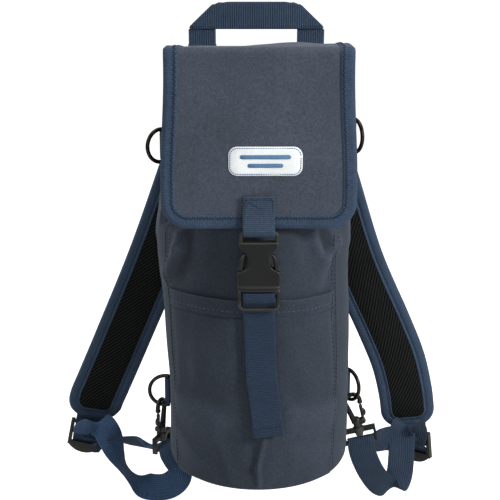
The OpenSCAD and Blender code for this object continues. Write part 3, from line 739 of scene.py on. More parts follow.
def build_lining():
    heights = np.r_[np.arange(5.4, 348, 7), [350.5]]
    places, normals, uv = wall_grid(bag_outline(LINING_INSET, 3.0), heights)
    x, y, z = np.moveaxis(places, -1, 0)
    wave = (ripple(x, y, z, 9.0, large=0.8, small=0.5)
            * smooth(5, 20, z) * smooth(350, 335, z) - 0.9)
    outer = places + normals * wave[..., None]
    wall("inner_lining_cloth", outer, outer - normals * LINING_THICK, uv, LINING,
         slot="black_lining", body="bag", replaces=("inner_lining",))


build_lining()

# U section of the rim's tape: distance outwards, z
RIM_SECTION = (
    (1.15, 338), (1.3, 345), (1.2, 351.0), (0.0, 353.6), (-3.2, 354.3), (-6.6, 353.4),
    (-8.0, 351), (-8.2, 345), (-8.0, 338), (-7.5, 338), (-7.4, 350.9), (-3.2, 352.4),
    (0.6, 350.9), (0.8, 338))
RIM_CREST = 4                                    # the section's top point, which wobbles


def build_rim_tape():
    rings, uvs = [], []
    for place, normal, arc in zip(outline_xy, outline_normal, outline_arc):
        place = place - normal * 3.2 * float(smooth(0.35, 0.95, abs(normal[0])))
        for j, (out, z) in enumerate(RIM_SECTION):
            if j == RIM_CREST:
                z += 0.25 * math.sin(arc / 6.0)
            rings.append((*(place + normal * out), z))
            uvs.append((z + j * 2.0, arc))
    quads = grid_faces(len(outline_xy), len(RIM_SECTION), closed=True, ring=True)
    make("rim_tape", rings, [(a, d, c, b) for a, b, c, d in quads], uvs, TAPE,
         slot="blue_tape", body="bag", replaces=("rim_binding",))


build_rim_tape()

# ------------------------------------------------------------------ pocket
POCKET_TOP = 172.0
pocket_angles = np.linspace(SEAMS[0] + 0.6, SEAMS[1] - 0.6, 100)
pocket_z = np.unique(np.concatenate([
    [5.0, 6.5, 8.5, 11, 14], np.arange(17, POCKET_TOP - 14, 2.6),
    POCKET_TOP - np.array([14.6, 13.9, 13.2, 11, 8, 5, 2, 0.6, 0])]))
# creases: start (x, z), end (x, z), width above, width below, height
POCKET_CREASES = (
    ((-72, 79), (-34, 68), 7.0, 26.0, 3.6), ((30, 74), (76, 70), 7.5, 26.0, 4.2),
    ((-72, 50), (-50, 22), 6.0, 16.0, 1.6), ((34, 40), (66, 30), 7.0, 16.0, 1.6))
# folds: start (x, z), end (x, z), width, height
POCKET_FOLDS = (
    ((4.5, 52), (-0.5, 26), 2.4, 2.6), ((-0.5, 26), (0.6, 5), 2.2, 2.4),
    ((-4.0, 46), (-6.5, 8), 4.0, -1.6), ((9, 50), (8, 8), 6.0, 0.8),
    ((-62, 155), (-50, 110), 8, 1.2), ((40, 150), (58, 96), 9, 1.5),
    ((60, 160), (66, 104), 5, -1.2), ((-44, 126), (-26, 84), 9, 1.0),
    ((30, 132), (40, 92), 9, 1.0), ((-30, 34), (-22, 6), 5, 1.1),
    ((28, 30), (24, 6), 5, 0.9), ((-55, 150), (-58, 100), 5, -0.8))


def build_pocket():
    """The pocket's cloth over the front round; gives its outer grid."""
    angle, z = np.meshgrid(pocket_angles, pocket_z)
    turn = np.radians(angle)
    normals = np.stack([np.sin(turn), -np.cos(turn), 0 * turn], -1)
    places = np.stack([0 * z, 0 * z + FRONT_Y, z], -1) + normals * FRONT_R
    x, y = places[..., 0], places[..., 1]
    lift = np.empty_like(z)
    for i, j in np.ndindex(z.shape):
        behind, _ = shell_at(arc_of(angle[i, j]), z[i, j])
        lift[i, j] = np.dot(behind - places[i, j], normals[i, j])
    from_edge = np.minimum(angle - pocket_angles[0], pocket_angles[-1] - angle)
    inside = smooth(0, 9, from_edge * math.radians(1) * FRONT_R)
    lift = lift + 0.9
    lift += inside * 1.0 * smooth(8, 40, z)
    # the mouth stands off a little
    lift += inside * 1.7 * bell(z - POCKET_TOP, 26) * bell(angle + 6, 42)
    # painted highlight on the raised folds, along the creases and at the mouth's top edge; painted
    # shade in the sunk folds
    worn = np.zeros_like(lift)
    for start, end, above, below, height in POCKET_CREASES:
        lift += height * crease(x, z, start, end, above, below)
        worn += 0.1 * height * crease(x, z, start, end, above * 0.6, below * 0.8)
    for start, end, width, height in POCKET_FOLDS:
        fold = ridge(x, z, start, end, width)
        lift += height * fold
        if width < 4.5:
            strength = (0.22 if height > 0 else 0.25) * np.sign(height)
            worn += strength * fold * min(1.0, abs(height) / 2.2)
    worn += 0.25 * smooth(POCKET_TOP - 1.6, POCKET_TOP, z)
    lift += ripple(x, y, z, 5.0, large=1.0, small=0.5) * inside
    flat = np.exp(-(x / 20) ** 4) * smooth(96, 112, z)         # flat behind the front strap
    lift = lift * (1 - flat) + np.minimum(lift, 1.7) * flat
    lift = np.maximum(lift, 0.9)
    # the hem: its step, the step's edge, the stitched groove and the thicker mouth
    hem = 0.45 * smooth(POCKET_TOP - 14.2, POCKET_TOP - 13.4, z)
    hem += 0.25 * bell(z - (POCKET_TOP - 13.4), 0.9) - 0.5 * bell(z - (POCKET_TOP - 9.5), 0.9)
    hem += 0.3 * smooth(POCKET_TOP - 3, POCKET_TOP, z)
    outer = places + normals * (lift + hem)[..., None]
    inner = places + normals * (lift - 0.75)[..., None]
    uv = np.stack([turn * FRONT_R, z], -1)
    sheet("pocket_cloth", np.concatenate([outer, inner, uv], -1), BODY_CANVAS,
          slot="navy_canvas", body="bag", replaces=("pocket_panel", "pocket_hem"),
          worn=np.concatenate([worn.ravel()] * 2))
    return outer


pocket_grid = build_pocket()


def pocket_at(angle, z):
    """Point and normal on the pocket's outer face."""
    row = np.interp(z, pocket_z, np.arange(len(pocket_z)))
    column = np.interp(angle, pocket_angles, np.arange(len(pocket_angles)))
    turn = math.radians(angle)
    return grid_at(pocket_grid, row, column), np.array([math.sin(turn), -math.cos(turn), 0])


def build_body_stitches():
    hem, seams = Pieces(), Pieces()
    mouth = [pocket_at(a, POCKET_TOP - 9.5)
             for a in np.linspace(pocket_angles[2], pocket_angles[-3], 130)]
    hem.row(*zip(*mouth), length=2.5, gap=1.7, radius=0.32, lift=0.02)
    for seam, offset in zip(SEAMS, (3.0, -3.0)):
        turn = math.degrees(offset / FRONT_R)
        within, beyond = seam + turn, seam - turn
        for line in ([pocket_at(within, z) for z in np.arange(8, POCKET_TOP - 1, 3)],
                     [shell_at(arc_of(within), z) for z in np.arange(POCKET_TOP + 4, 344, 4)],
                     [shell_at(arc_of(beyond), z) for z in np.arange(8, 344, 4)]):
            seams.row(*zip(*line), **SEAM_THREAD)
    round_base = [shell_at(s, 8.5) for s in np.linspace(0, outline_arc[-1], 260)]
    seams.row(*zip(*round_base), length=2.8, gap=1.4, radius=0.36, lift=0.05)
    hem.make("stitches_pocket", THREAD, "bag")
    seams.make("stitches_body", DARK_THREAD, "bag")


build_body_stitches()

# ------------------------------------------------------------------ flap
FLAP_LOW, FLAP_R = 234.0, 20.0                   # lower edge's z, its corners' radius
FLAP_HALF = 76                                   # half width at the lower edge
# profile (y, z) from the back over the fold at the front to the lower edge
FLAP_PROFILE = (
    (63, 359.4), (50, 361.0), (30, 363.6), (8, 366.4), (-15, 368.6), (-38, 370.6),
    (-58, 372.2), (-70, 373.2), (-76.6, 373.7), (-79.6, 372.9), (-81.0, 370.6),
    (-81.2, 366.5), (-81.1, 358), (-80.9, 330), (-80.8, 300), (-80.8, 265),
    (-80.9, FLAP_LOW + 0.6))


def flap_path():
    """The profile thinned to 2 mm steps, 0.9 mm round the fold."""
    fine = resample(spline(FLAP_PROFILE, 10), 0.25)
    keep = [0]
    for i in range(1, len(fine) - 1):
        at_fold = -83 < fine[i][0] < -74 and fine[i][1] > 360
        if np.linalg.norm(fine[i] - fine[keep[-1]]) >= (0.9 if at_fold else 2.0):
            keep.append(i)
    return fine[keep + [len(fine) - 1]]


flap_yz = flap_path()
flap_arc = arc_lengths(flap_yz)
flap_tangent = tangents(flap_yz)
flap_normal = np.stack([flap_tangent[:, 1], -flap_tangent[:, 0]], 1)  # up, then to the front
flap_end = flap_arc[-1]


def flap_half_width(y, z):
    if z > 364 or y > -74:
        half = 71.6 + 0.4 * smooth(-20, -80, y)
    else:
        half = 72.0 + (FLAP_HALF - 72.0) * smooth(362, 262, z)
    return float(rounded_half(half, FLAP_R, FLAP_LOW + FLAP_R - z))


def flap_puff(x, y, z, half):
    """How far the flap's cloth stands off its profile."""
    dome = (smooth(364, 369, z + 6 * smooth(-60, 40, y))
            * smooth(66, 20, y) * smooth(-82, -50, y)
            * (3.8 * bell(x - 30, 34) + 1.0 * bell(x + 40, 26) + 1.2 * smooth(46, 66, x)))
    belly = (1 - smooth(358, 368, z)) * (
        1.3 * (1 - (x / half) ** 2) * smooth(FLAP_LOW, FLAP_LOW + 60, z) * smooth(362, 320, z))
    wobble = (0.75 * noise_at(x / 34, y / 34, z / 42, 7.0)
              + 0.3 * noise_at(x / 12, y / 14, z / 15, 11.0))
    return dome + belly + wobble * (0.35 + 0.65 * smooth(0.0, 8.0, half - abs(x)))


def flap_station(i, share):
    y, z = flap_yz[i]
    half = flap_half_width(y, z) - 1.0
    x = share * half
    puff = flap_puff(x, y, z, half)
    place = np.array([x, y, z])
    normal = np.array([0, *flap_normal[i]])
    inner = place + normal * (-1.2 + puff * 0.6 + min(puff, 0) * 0.4)
    if inner[2] < 350:                           # keeps clear of the rim and the front
        inner[1] = min(inner[1], -79.2)
    return (*(place + normal * (1.3 + puff)), *inner, x, flap_arc[i])


flap_grid = sheet_grid(range(len(flap_yz)), np.linspace(-1, 1, 73), flap_station)
flap = sheet("flap_cloth", flap_grid, FLAP_CANVAS, slot="charcoal_canvas",
             replaces=("flap_top_panel", "flap_front_panel", "flap_front_stiffener"))
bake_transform(flap)


def flap_at(x, s, side=1):
    """Point and normal at width x and profile length s, on the outer (1) or inner (-1) face."""
    half = flap_half_width(*interp_rows(s, flap_arc, flap_yz)) - 1.0
    grid = flap_grid[..., :3] if side > 0 else flap_grid[..., 3:6]
    last = grid.shape[1] - 1
    point = grid_at(grid, np.interp(s, flap_arc, np.arange(len(flap_arc))),
                    np.clip((x / half + 1) / 2 * last, 0, last))
    point[0] = x
    return point, unit(np.array([0, *interp_rows(s, flap_arc, flap_normal)])) * side


def flap_edge_path():
    """The edge in (x, s): down the left, along the bottom, up the right; and its inward side."""
    left = [(-flap_half_width(y, z), s) for s, (y, z) in zip(flap_arc, flap_yz)
            if z > FLAP_LOW + FLAP_R]
    left += [(-FLAP_HALF + FLAP_R + FLAP_R * math.cos(a),
              flap_end - (FLAP_R + FLAP_R * math.sin(a)))
             for a in np.radians(np.linspace(180, 270, 22))]
    bottom = [(x, flap_end) for x in np.linspace(-54, 54, 50)]
    edge = resample(np.array(left + bottom + [(-x, s) for x, s in left[::-1]]), 1.6)
    along = tangents(edge)
    inward = np.stack([along[:, 1], -along[:, 0]], 1)
    on_bottom = (np.abs(edge[:, 0]) <= FLAP_HALF - FLAP_R) & (edge[:, 1] > flap_end - 1)
    inward[on_bottom] = (0, -1)
    return edge, inward


flap_edge, flap_inward = flap_edge_path()
FLAP_TAPE_W = 10.0


def build_flap_tape():
    """A U of tape round the flap's edge. Profiles are (distance inwards, height)."""
    width = FLAP_TAPE_W
    back = ((0.9, 0.7), (3, 0.85), (width - 3, 0.7), (width - 0.6, 0.6), (width, 0.1),
            (width - 0.8, -0.35), (3, -0.35))
    core = ((3, -0.3), (width - 0.8, -0.3))
    lip = ((0.72, 1.0), (0.5, 1.55), (0.28, 1.0))  # share of the front face, distance out
    rings, uvs = [], []
    for place, inward, along in zip(flap_edge, flap_inward, arc_lengths(flap_edge)):
        pucker = 0.22 * math.sin(along / 2.9) + 0.2 * noise_at(along / 7.0, 0, 0, 4.0)
        front = ((width, 0.12), (width - 0.5, 0.75), (width - 3, 0.95 + pucker * 0.4),
                 (5.3, 0.75), (4.7, 0.7), (2.6, 1.1 + pucker * 0.5),
                 (0.9, 0.95 + pucker * 0.3))

        def laid(profile, side):
            spots = [(*flap_at(*(place + inward * d), side), h) for d, h in profile]
            return [point + normal * h for point, normal, h in spots]

        outer_edge, inner_edge = flap_at(*place, 1)[0], flap_at(*place, -1)[0]
        i = min(np.searchsorted(flap_arc, place[1]), len(flap_arc) - 1)
        outward = unit(np.array([-inward[0], 0, 0])
                       - np.array([0, *flap_tangent[i]]) * inward[1])
        rim = [inner_edge * (1 - share) + outer_edge * share + outward * out
               for share, out in lip]
        rings.append(laid(front, 1) + rim + laid(back, -1) + laid(core, 1))
        across = ([d for d, _ in front] + [-1.0, -2.0, -3.0] + [-d - 4 for d, _ in back]
                  + [d for d, _ in core])
        uvs += [(u, along) for u in across]
    tape = make("flap_tape", *loft(rings), uvs, TAPE, slot="blue_tape",
                replaces=("flap_top_binding", "flap_front_binding"))
    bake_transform(tape)


def build_flap_stitches():
    """Zig-zag row along the tape."""
    line = []
    for place, inward in list(zip(flap_edge, flap_inward))[2:-2]:
        point, normal = flap_at(*(place + inward * 7.2), 1)
        line.append((point + normal * 0.92, normal))
    threads = Pieces()
    threads.row(*zip(*line), length=1.5, gap=0.25, radius=0.4, lift=0.1, zigzag=1.0)
    made = threads.make("stitches_flap_tape", DARK_THREAD)
    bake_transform(made)


def build_flap_root():
    """Cloth that joins the flap to the back panel."""
    path = resample(spline([(71.7, 347.0), (72.1, 352.0), (71.9, 356.6), (69.6, 360.2),
                            (64.8, 361.5), (58, 361.9)], 8), 1.5)
    along = tangents(path)

    def station(i, x):
        y, z = path[i]
        ny, nz = along[i][1] * 0.55, -along[i][0] * 0.55       # half the cloth's thickness
        return (x, y + ny + 0.15 * noise_at(x / 20, y / 9, z / 9, 2),
                z + nz + 0.25 * noise_at(x / 25, y / 9, z / 9, 3),
                x, y - ny, z - nz, x, i * 1.5)

    root = sheet("flap_root_cloth",
                 sheet_grid(range(len(path)), np.linspace(-66, 66, 45), station),
                 FLAP_CANVAS, slot="charcoal_canvas")
    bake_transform(root)


build_flap_tape()
build_flap_stitches()
build_flap_root()


# ------------------------------------------------------------------ label patch
def rounded_rect(x, z, width, height, radius, samples=8):
    points = []
    for right, up, first in ((1, 1, 0), (-1, 1, 90), (-1, -1, 180), (1, -1, 270)):
        for a in np.radians(np.linspace(first, first + 90, samples)):
            points.append((x + right * (width / 2 - radius) + radius * math.cos(a),
                           z + up * (height / 2 - radius) + radius * math.sin(a)))
    return np.array(points)


def on_flap(x, z, lift):
    """A point over the flap's front at x and z."""
    half = len(flap_yz) // 2
    point, normal = flap_at(x, float(np.interp(-z, -flap_yz[half:, 1], flap_arc[half:])))
    return point + normal * lift


def patch_piece(name, outline, low, high, material, crown=0.0, rings=4, replaces=()):
    """A thin closed piece on the flap, from lift low to high, with a rounded edge."""
    centre = outline.mean(0)
    stations = [(1.0, low), (1.0, (low + high) / 2), (0.985, high * 0.97)]  # scale, lift
    for k in range(1, rings + 1):
        stations.append((0.985 * (1 - k / (rings + 0.15)), high + crown * k / rings))
    flat = [centre + (outline - centre) * scale for scale, _ in stations]
    sections = [[on_flap(*place, lift) for place in ring]
                for ring, (_, lift) in zip(flat, stations)]
    make(name, *loft(sections), np.concatenate(flat), material, slot="white_patch",
         body="flap_front", replaces=replaces)


def build_patch():
    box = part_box("label_patch")
    x, z = ((box[0][axis] + box[1][axis]) / 2 / MM for axis in (0, 2))
    patch_piece("label_patch_cloth", rounded_rect(x, z, 58, 23, 7), 0.1, 0.9, PATCH,
                replaces=("label_patch",))
    for name, rise, length in (("upper", 3.4, 40), ("lower", -3.4, 28)):
        patch_piece("label_bar_" + name, rounded_rect(x, z + rise, length, 3.2, 1.5, 5),
                    0.8, 1.35, PATCH_BLUE, crown=0.15, rings=2)
    border = rounded_rect(x, z, 55.6, 20.6, 6, 12)
    border = resample(np.vstack([border, border[:1]]), 1.0)
    threads = Pieces()
    threads.row([on_flap(*place, 0.9) for place in border], (0, -1, 0),
                length=1.5, gap=0.35, radius=0.45, lift=0.05)
    threads.make("label_border_thread", PATCH_BLUE, "flap_front", slot="white_patch")


build_patch()

# ------------------------------------------------------------------ webbing
WEB_W, WEB_T = 25.0, 1.4
X_AXIS = (1, 0, 0)


def webbing(name, centres, across, material=WEB, width=WEB_W, ribs=12, rib_depth=0.1,
            step=1.0, samples=14, part=(0, 1), body=None, replaces=()):
    """A ribbed strap along centres; across is its width direction at each one, or at all.

    part is the share of the length that is made. Gives the object and its centre line,
    width directions and normals.
    """
    curve = spline(centres, samples)
    widths = spline(np.broadcast_to(across, np.shape(centres)), samples)
    known = arc_lengths(curve)
    curve = resample(curve, step)
    arc = np.linspace(0, known[-1], len(curve))
    along = tangents(curve)
    widths = square_to(interp_rows(arc, known, widths), along)
    for _ in range(3):                           # keeps the ruled surface from kinking
        widths[1:-1] = unit(widths[:-2] + 2 * widths[1:-1] + widths[2:])
        widths = square_to(widths, along)
    normals = np.cross(along, widths)
    first, last = (int(round(share * (len(curve) - 1))) for share in part)
    curve, widths, normals, arc = (a[first:last + 1] for a in (curve, widths, normals, arc))
    u = np.linspace(-width / 2, width / 2, ribs * 4 + 1)
    top = WEB_T / 2 * (1 - 0.5 * np.abs(u / (width / 2)) ** 14)
    top = top + rib_depth * (np.cos(2 * math.pi * u / (width / ribs)) - 1) * 0.5
    edge = width / 2 + 0.25
    profile = np.array([*zip(u, top), (edge, 0.0), *zip(u[::-1], -top[::-1]),
                        (-edge, 0.0)])[::-1]
    sections = (curve[:, None] + widths[:, None] * profile[:, :1]
                + normals[:, None] * profile[:, 1:])
    uvs = np.stack(np.broadcast_arrays(profile[:, 0], arc[:, None]), -1).reshape(-1, 2)
    made = make(name, *loft(sections), uvs, material, slot="blue_webbing", body=body,
                replaces=replaces)
    return made, (curve, widths, normals)


def build_flap_tab():
    """Two layers of webbing down to the receiver's bar and round it; path in (y, z)."""
    path = ((-83.2, 259.5), (-83.3, 250), (-83.6, 240), (-83.9, 235.5), (-84.6, 231.2),
            (-87.2, 227.9), (-90.0, 230.6), (-89.6, 235.0), (-87.2, 240.5), (-85.9, 248),
            (-85.6, 259.8))
    webbing("flap_tab_webbing", [(0, y, z) for y, z in path], X_AXIS, TAB_WEB,
            body="flap_front", replaces=("flap_tab_web",))
    corners = ((-11.0, 257.5), (11.0, 257.5), (11.0, 243.5), (-11.0, 243.5),
               (-11.0, 257.5), (11.0, 243.5))
    threads = Pieces()
    for start, end in zip(corners[:-1], corners[1:]):
        line = straight((start[0], 0, start[1]), (end[0], 0, end[1]))
        line[:, 1] = -86.38 - 1.15 * np.clip((246.5 - line[:, 2]) / 6.0, 0, 1) ** 1.4
        threads.row(line, (0, -1, 0), length=1.9, gap=0.55, radius=0.33, lift=0.05, zigzag=0.3)
    threads.make("stitches_flap_tab", DARK_THREAD, "flap_front")


# front strap: up, round the insert's bar and down to the hanging end
STRAP_LOOP = (
    (0, -82.0, 172.6), (0, -82.4, 178), (0, -83.6, 181.8), (0, -86.6, 182.4),
    (0, -89.6, 181.6), (0, -90.5, 178.6), (0, -89.6, 175.6), (0, -86.6, 172.6),
    (0, -84.2, 170.0), (0.1, -83.7, 165), (0.4, -82.6, 158), (0.9, -82.1, 148),
    (1.6, -82.0, 130), (2.2, -82.2, 115), (2.5, -83.6, 107.5), (3.0, -84.9, 103.0),
    (3.9, -84.3, 98), (5.6, -83.9, 84), (7.4, -84.2, 68), (8.9, -84.8, 56.0))
STRAP_ACROSS = (X_AXIS,) * 14 + (
    (1, 0, 0.02), (1, 0.0, 0.07), (1, 0.02, 0.12), (1, 0.03, 0.13), (1, 0.02, 0.13),
    (1, 0.0, 0.13))


def build_front_strap():
    webbing("front_strap_fixed_webbing", [(0, -79.9, z) for z in (166, 150, 130, 109)],
            X_AXIS, FRONT_WEB, ribs=11, rib_depth=0.05, step=2.0, body="bag",
            replaces=("front_strap_fixed",))
    _, (curve, widths, normals) = webbing(
        "front_strap_tail_webbing", STRAP_LOOP, STRAP_ACROSS, FRONT_WEB, rib_depth=0.05,
        body="buckle_insert", replaces=("front_strap_tail",))
    # hem at the strap's end: a stitch row, and the folded layer behind
    row = 9                                      # samples up from the end
    line = [curve[-row] + widths[-row] * x + normals[-row] * 0.72
            for x in np.linspace(-11.4, 11.4, 24)]
    threads = Pieces()
    threads.row(line, normals[-row], length=2.4, gap=0.9, radius=0.42, lift=0.05, zigzag=0.45)
    threads.make("stitches_strap_tail", DARK_THREAD, "buckle_insert")
    fold = [curve[-k] + [0, back, 0] for k, back in ((2, 1.25), (5, 1.5), (9, 1.45), (12, 1.3))]
    webbing("front_strap_hem_fold", fold, widths[-2], FRONT_WEB, rib_depth=0.05, step=1.4,
            body="buckle_insert")


build_flap_tab()
build_front_strap()

# ------------------------------------------------------------------ carry handle
HANDLE_Y = 74.4
HANDLE_LEFT, HANDLE_RIGHT = -62.5, 60.0
BAND_LOW, BAND_TOP, BAND_SLOPE = 380.2, 404.3, 25.0  # slope: how far the ends lean inwards
HANDLE_RIBS = 12


def build_handle_band():
    """The top band; its mitred ends slope inwards to the top, with soft corners."""
    columns = 120

    def station(i, t):
        s = i / (columns - 1)
        z = BAND_LOW + (BAND_TOP - BAND_LOW) * t
        short = (BAND_SLOPE * t + 1.6 * max(0.0, 1 - t / 0.1) ** 2
                 + 3.0 * max(0.0, (t - 0.86) / 0.14) ** 2)
        left, right = HANDLE_LEFT + short, HANDLE_RIGHT - short
        x = left + (right - left) * s
        rib = 0.07 * math.cos(2 * math.pi * t * HANDLE_RIBS)
        bow = -0.3 * math.sin(math.pi * s) + 0.4 * noise_at(x / 18, z / 18, 0, 6)
        thin = (0.4 * abs(2 * t - 1) ** 12
                + 0.45 * max(0.0, 1 - min(s, 1 - s) * (columns - 1) / 3.0) ** 2)
        droop = -0.72 * t * (bell(s - 0.04, 0.05) + bell(s - 0.96, 0.05))
        return (x, HANDLE_Y - 1.65 + thin + bow + rib, z + droop,
                x, HANDLE_Y - 0.1 - thin * 0.4 + bow - rib, z + droop, z, x)

    sheet("handle_band", sheet_grid(range(columns), np.linspace(0, 1, 27), station),
          HANDLE_WEB, slot="blue_webbing", body="carry_handle", replaces=("carry_handle",))


def handle_leg(name, corners):
    """A flat strip from corners a, b, c, d in x and z; a-b and d-c are its long sides."""
    a, b, c, d = np.array(corners, float)
    front, back = HANDLE_Y + 0.1, HANDLE_Y + 1.4

    def station(s, t):
        x, z = (a * (1 - s) + b * s) * (1 - t) + (d * (1 - s) + c * s) * t
        rib = 0.09 * math.cos(2 * math.pi * t * HANDLE_RIBS)
        bow = 0.35 * noise_at(x / 18, z / 18, 0, 6)
        thin = 0.25 * abs(2 * t - 1) ** 12 * (back - front)
        return (x, front + thin + bow - 0.08 + rib, z, x, back - thin + bow - rib, z, z, x)

    sheet(name, sheet_grid(np.linspace(0, 1, 34), np.linspace(0, 1, 25), station),
          HANDLE_WEB, slot="blue_webbing", body="carry_handle")


def handle_fold(name, outer_x, inner_x):
    """The rounded edge where a leg folds into the band."""
    points = straight((outer_x, HANDLE_Y, 381.4), (inner_x, HANDLE_Y, 402.2))
    y_axis = np.array((0, 1, 0))
    rings = []
    for i, (point, along) in enumerate(zip(points, tangents(points))):
        side = np.cross(along, y_axis)
        size = min(1.0, 0.35 + 0.3 * min(i, len(points) - 1 - i))
        rings.append([point + y_axis * 1.35 * size * math.cos(a)
                      + side * 0.85 * size * math.sin(a)
                      for a in np.linspace(0, 2 * math.pi, 13)[:-1]])
    verts, faces = loft(rings)
    make(name, verts, faces, verts[:, [2, 0]], HANDLE_WEB, slot="blue_webbing",
         body="carry_handle")


def handle_anchor(side, x):
    """Webbing on the bag's back that lets the handle fold, centred on x."""
    path = [(x, 73.0, 349), (x, 73.1, 355), (x, 73.6, 360), (x, 74.9, 363.5), (x, 75.1, 367)]
    made, _ = webbing("handle_anchor_" + side, path, X_AXIS, TAB_WEB, step=1.2,
                      replaces=("handle_anchor",))
    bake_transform(made)
    threads = Pieces()
    low, high = 350.5, 357.5
    for start, end in ((low, low), (high, high), (low, high), (high, low)):
        threads.row(straight((x - 9, 74.0, start), (x + 9, 74.0, end)), (0, 1, 0),
                    **BOX_THREAD, lift=0.05)
    threads.make("stitches_handle_anchor_" + side, THREAD, "bag")


def build_handle():
    left, right = HANDLE_LEFT, HANDLE_RIGHT
    build_handle_band()
    handle_leg("handle_leg_left", [(left + 0.4, 363.2), (left + 0.2, 379.6),
                                   (left + 24.6, 402.3), (left + 24.8, 363.2)])
    handle_leg("handle_leg_right", [(right - 24.8, 363.2), (right - 24.6, 402.3),
                                    (right - 0.2, 379.6), (right - 0.4, 363.2)])
    handle_fold("handle_fold_left", left + 1.0, left + 23.0)
    handle_fold("handle_fold_right", right - 1.0, right - 23.0)
    threads = Pieces()
    for start in (left + 3, right - 22):
        line = [(x, HANDLE_Y - 1.55, 382.6) for x in np.linspace(start, start + 19, 20)]
        threads.row(line, (0, -1, 0), length=1.9, gap=0.8, radius=0.33, lift=0.05)
    threads.make("stitches_handle", DARK_THREAD, "carry_handle")
    handle_anchor("left", left + WEB_W / 2)
    handle_anchor("right", right - WEB_W / 2)


build_handle()

# ------------------------------------------------------------------ ring tabs
TAB_X, TAB_Y = 84.5, 44.0                        # the rings' straight bars, from the middle
TAB_LEAN = math.radians(24.8)
TAB_LOOP_R = 1.8 + 0.07 + WEB_T / 2              # bar radius, clearance and half the webbing


def ring_tab(name, sign, z):
    """Webbing from the bag's side round a ring and back; sign is -1 left, 1 right."""
    inward = np.array([-math.sin(TAB_LEAN), math.cos(TAB_LEAN)])
    side = np.array([math.cos(TAB_LEAN), math.sin(TAB_LEAN)])
    path = [inward * t + side * (0.78 + 1.8 * smooth(9, 0, t))
            for t in np.linspace(15.5, 1.0, 6)]
    path += [side * TAB_LOOP_R * math.cos(a) - inward * TAB_LOOP_R * math.sin(a)
             for a in np.radians(np.linspace(20, 340, 13))]
    path += [inward * t - side * (0.78 + 1.6 * smooth(9, 0, t))
             for t in np.linspace(1.0, 15.5, 6)]

    def placed(spot, rise=0):
        return sign * (TAB_X + spot[0]), TAB_Y + spot[1], z + rise

    webbing(name + "_webbing", [placed(spot) for spot in path], (0, 0, 1), TAB_WEB,
            samples=3, body="bag", replaces=(name,))
    threads = Pieces()
    near, far = 4.6, 13.5                        # stitched box, measured from the bar
    for start, low, end, high in ((near, -10, near, 10), (far, -10, far, 10),
                                  (near, -10, far, 10), (near, 10, far, -10)):
        line = straight(placed(inward * start + side * 1.55, low),
                        placed(inward * end + side * 1.55, high))
        threads.row(line, (sign * side[0], side[1], 0), **BOX_THREAD, lift=0.1)
    threads.make("stitches_" + name + "_webbing", THREAD, "bag")


for tab_name, tab_sign, tab_z in (("upper_left", -1, 280), ("upper_right", 1, 289),
                                  ("lower_left", -1, 46), ("lower_right", 1, 53)):
    ring_tab(tab_name + "_ring_tab", tab_sign, tab_z)

# ------------------------------------------------------------------ shoulder pads
PAD_HALF, PAD_OVER, PAD_R = 25.2, 1.6, 17.0      # half width, length past the run, end radius
PAD_TAPE_W = 9.6
PAD_STITCH = 6.6                                 # groove in the tape, from the pad's edge
LEFT_RUN = [(-38, 77.5, 331), (-50, 80, 296), (-69, 84, 241), (-98, 86.5, 163),
            (-134, 88.5, 78), (-151, 89, 39), (-160, 89, 18), (-163, 89, 2)]
RIGHT_RUN = [(38, 77.5, 331), (50, 80, 296), (68.5, 84, 241), (94, 86.5, 163),
             (123, 88.5, 98), (138, 89, 62), (146, 89, 32), (149.5, 89, 10), (151, 89, -7)]


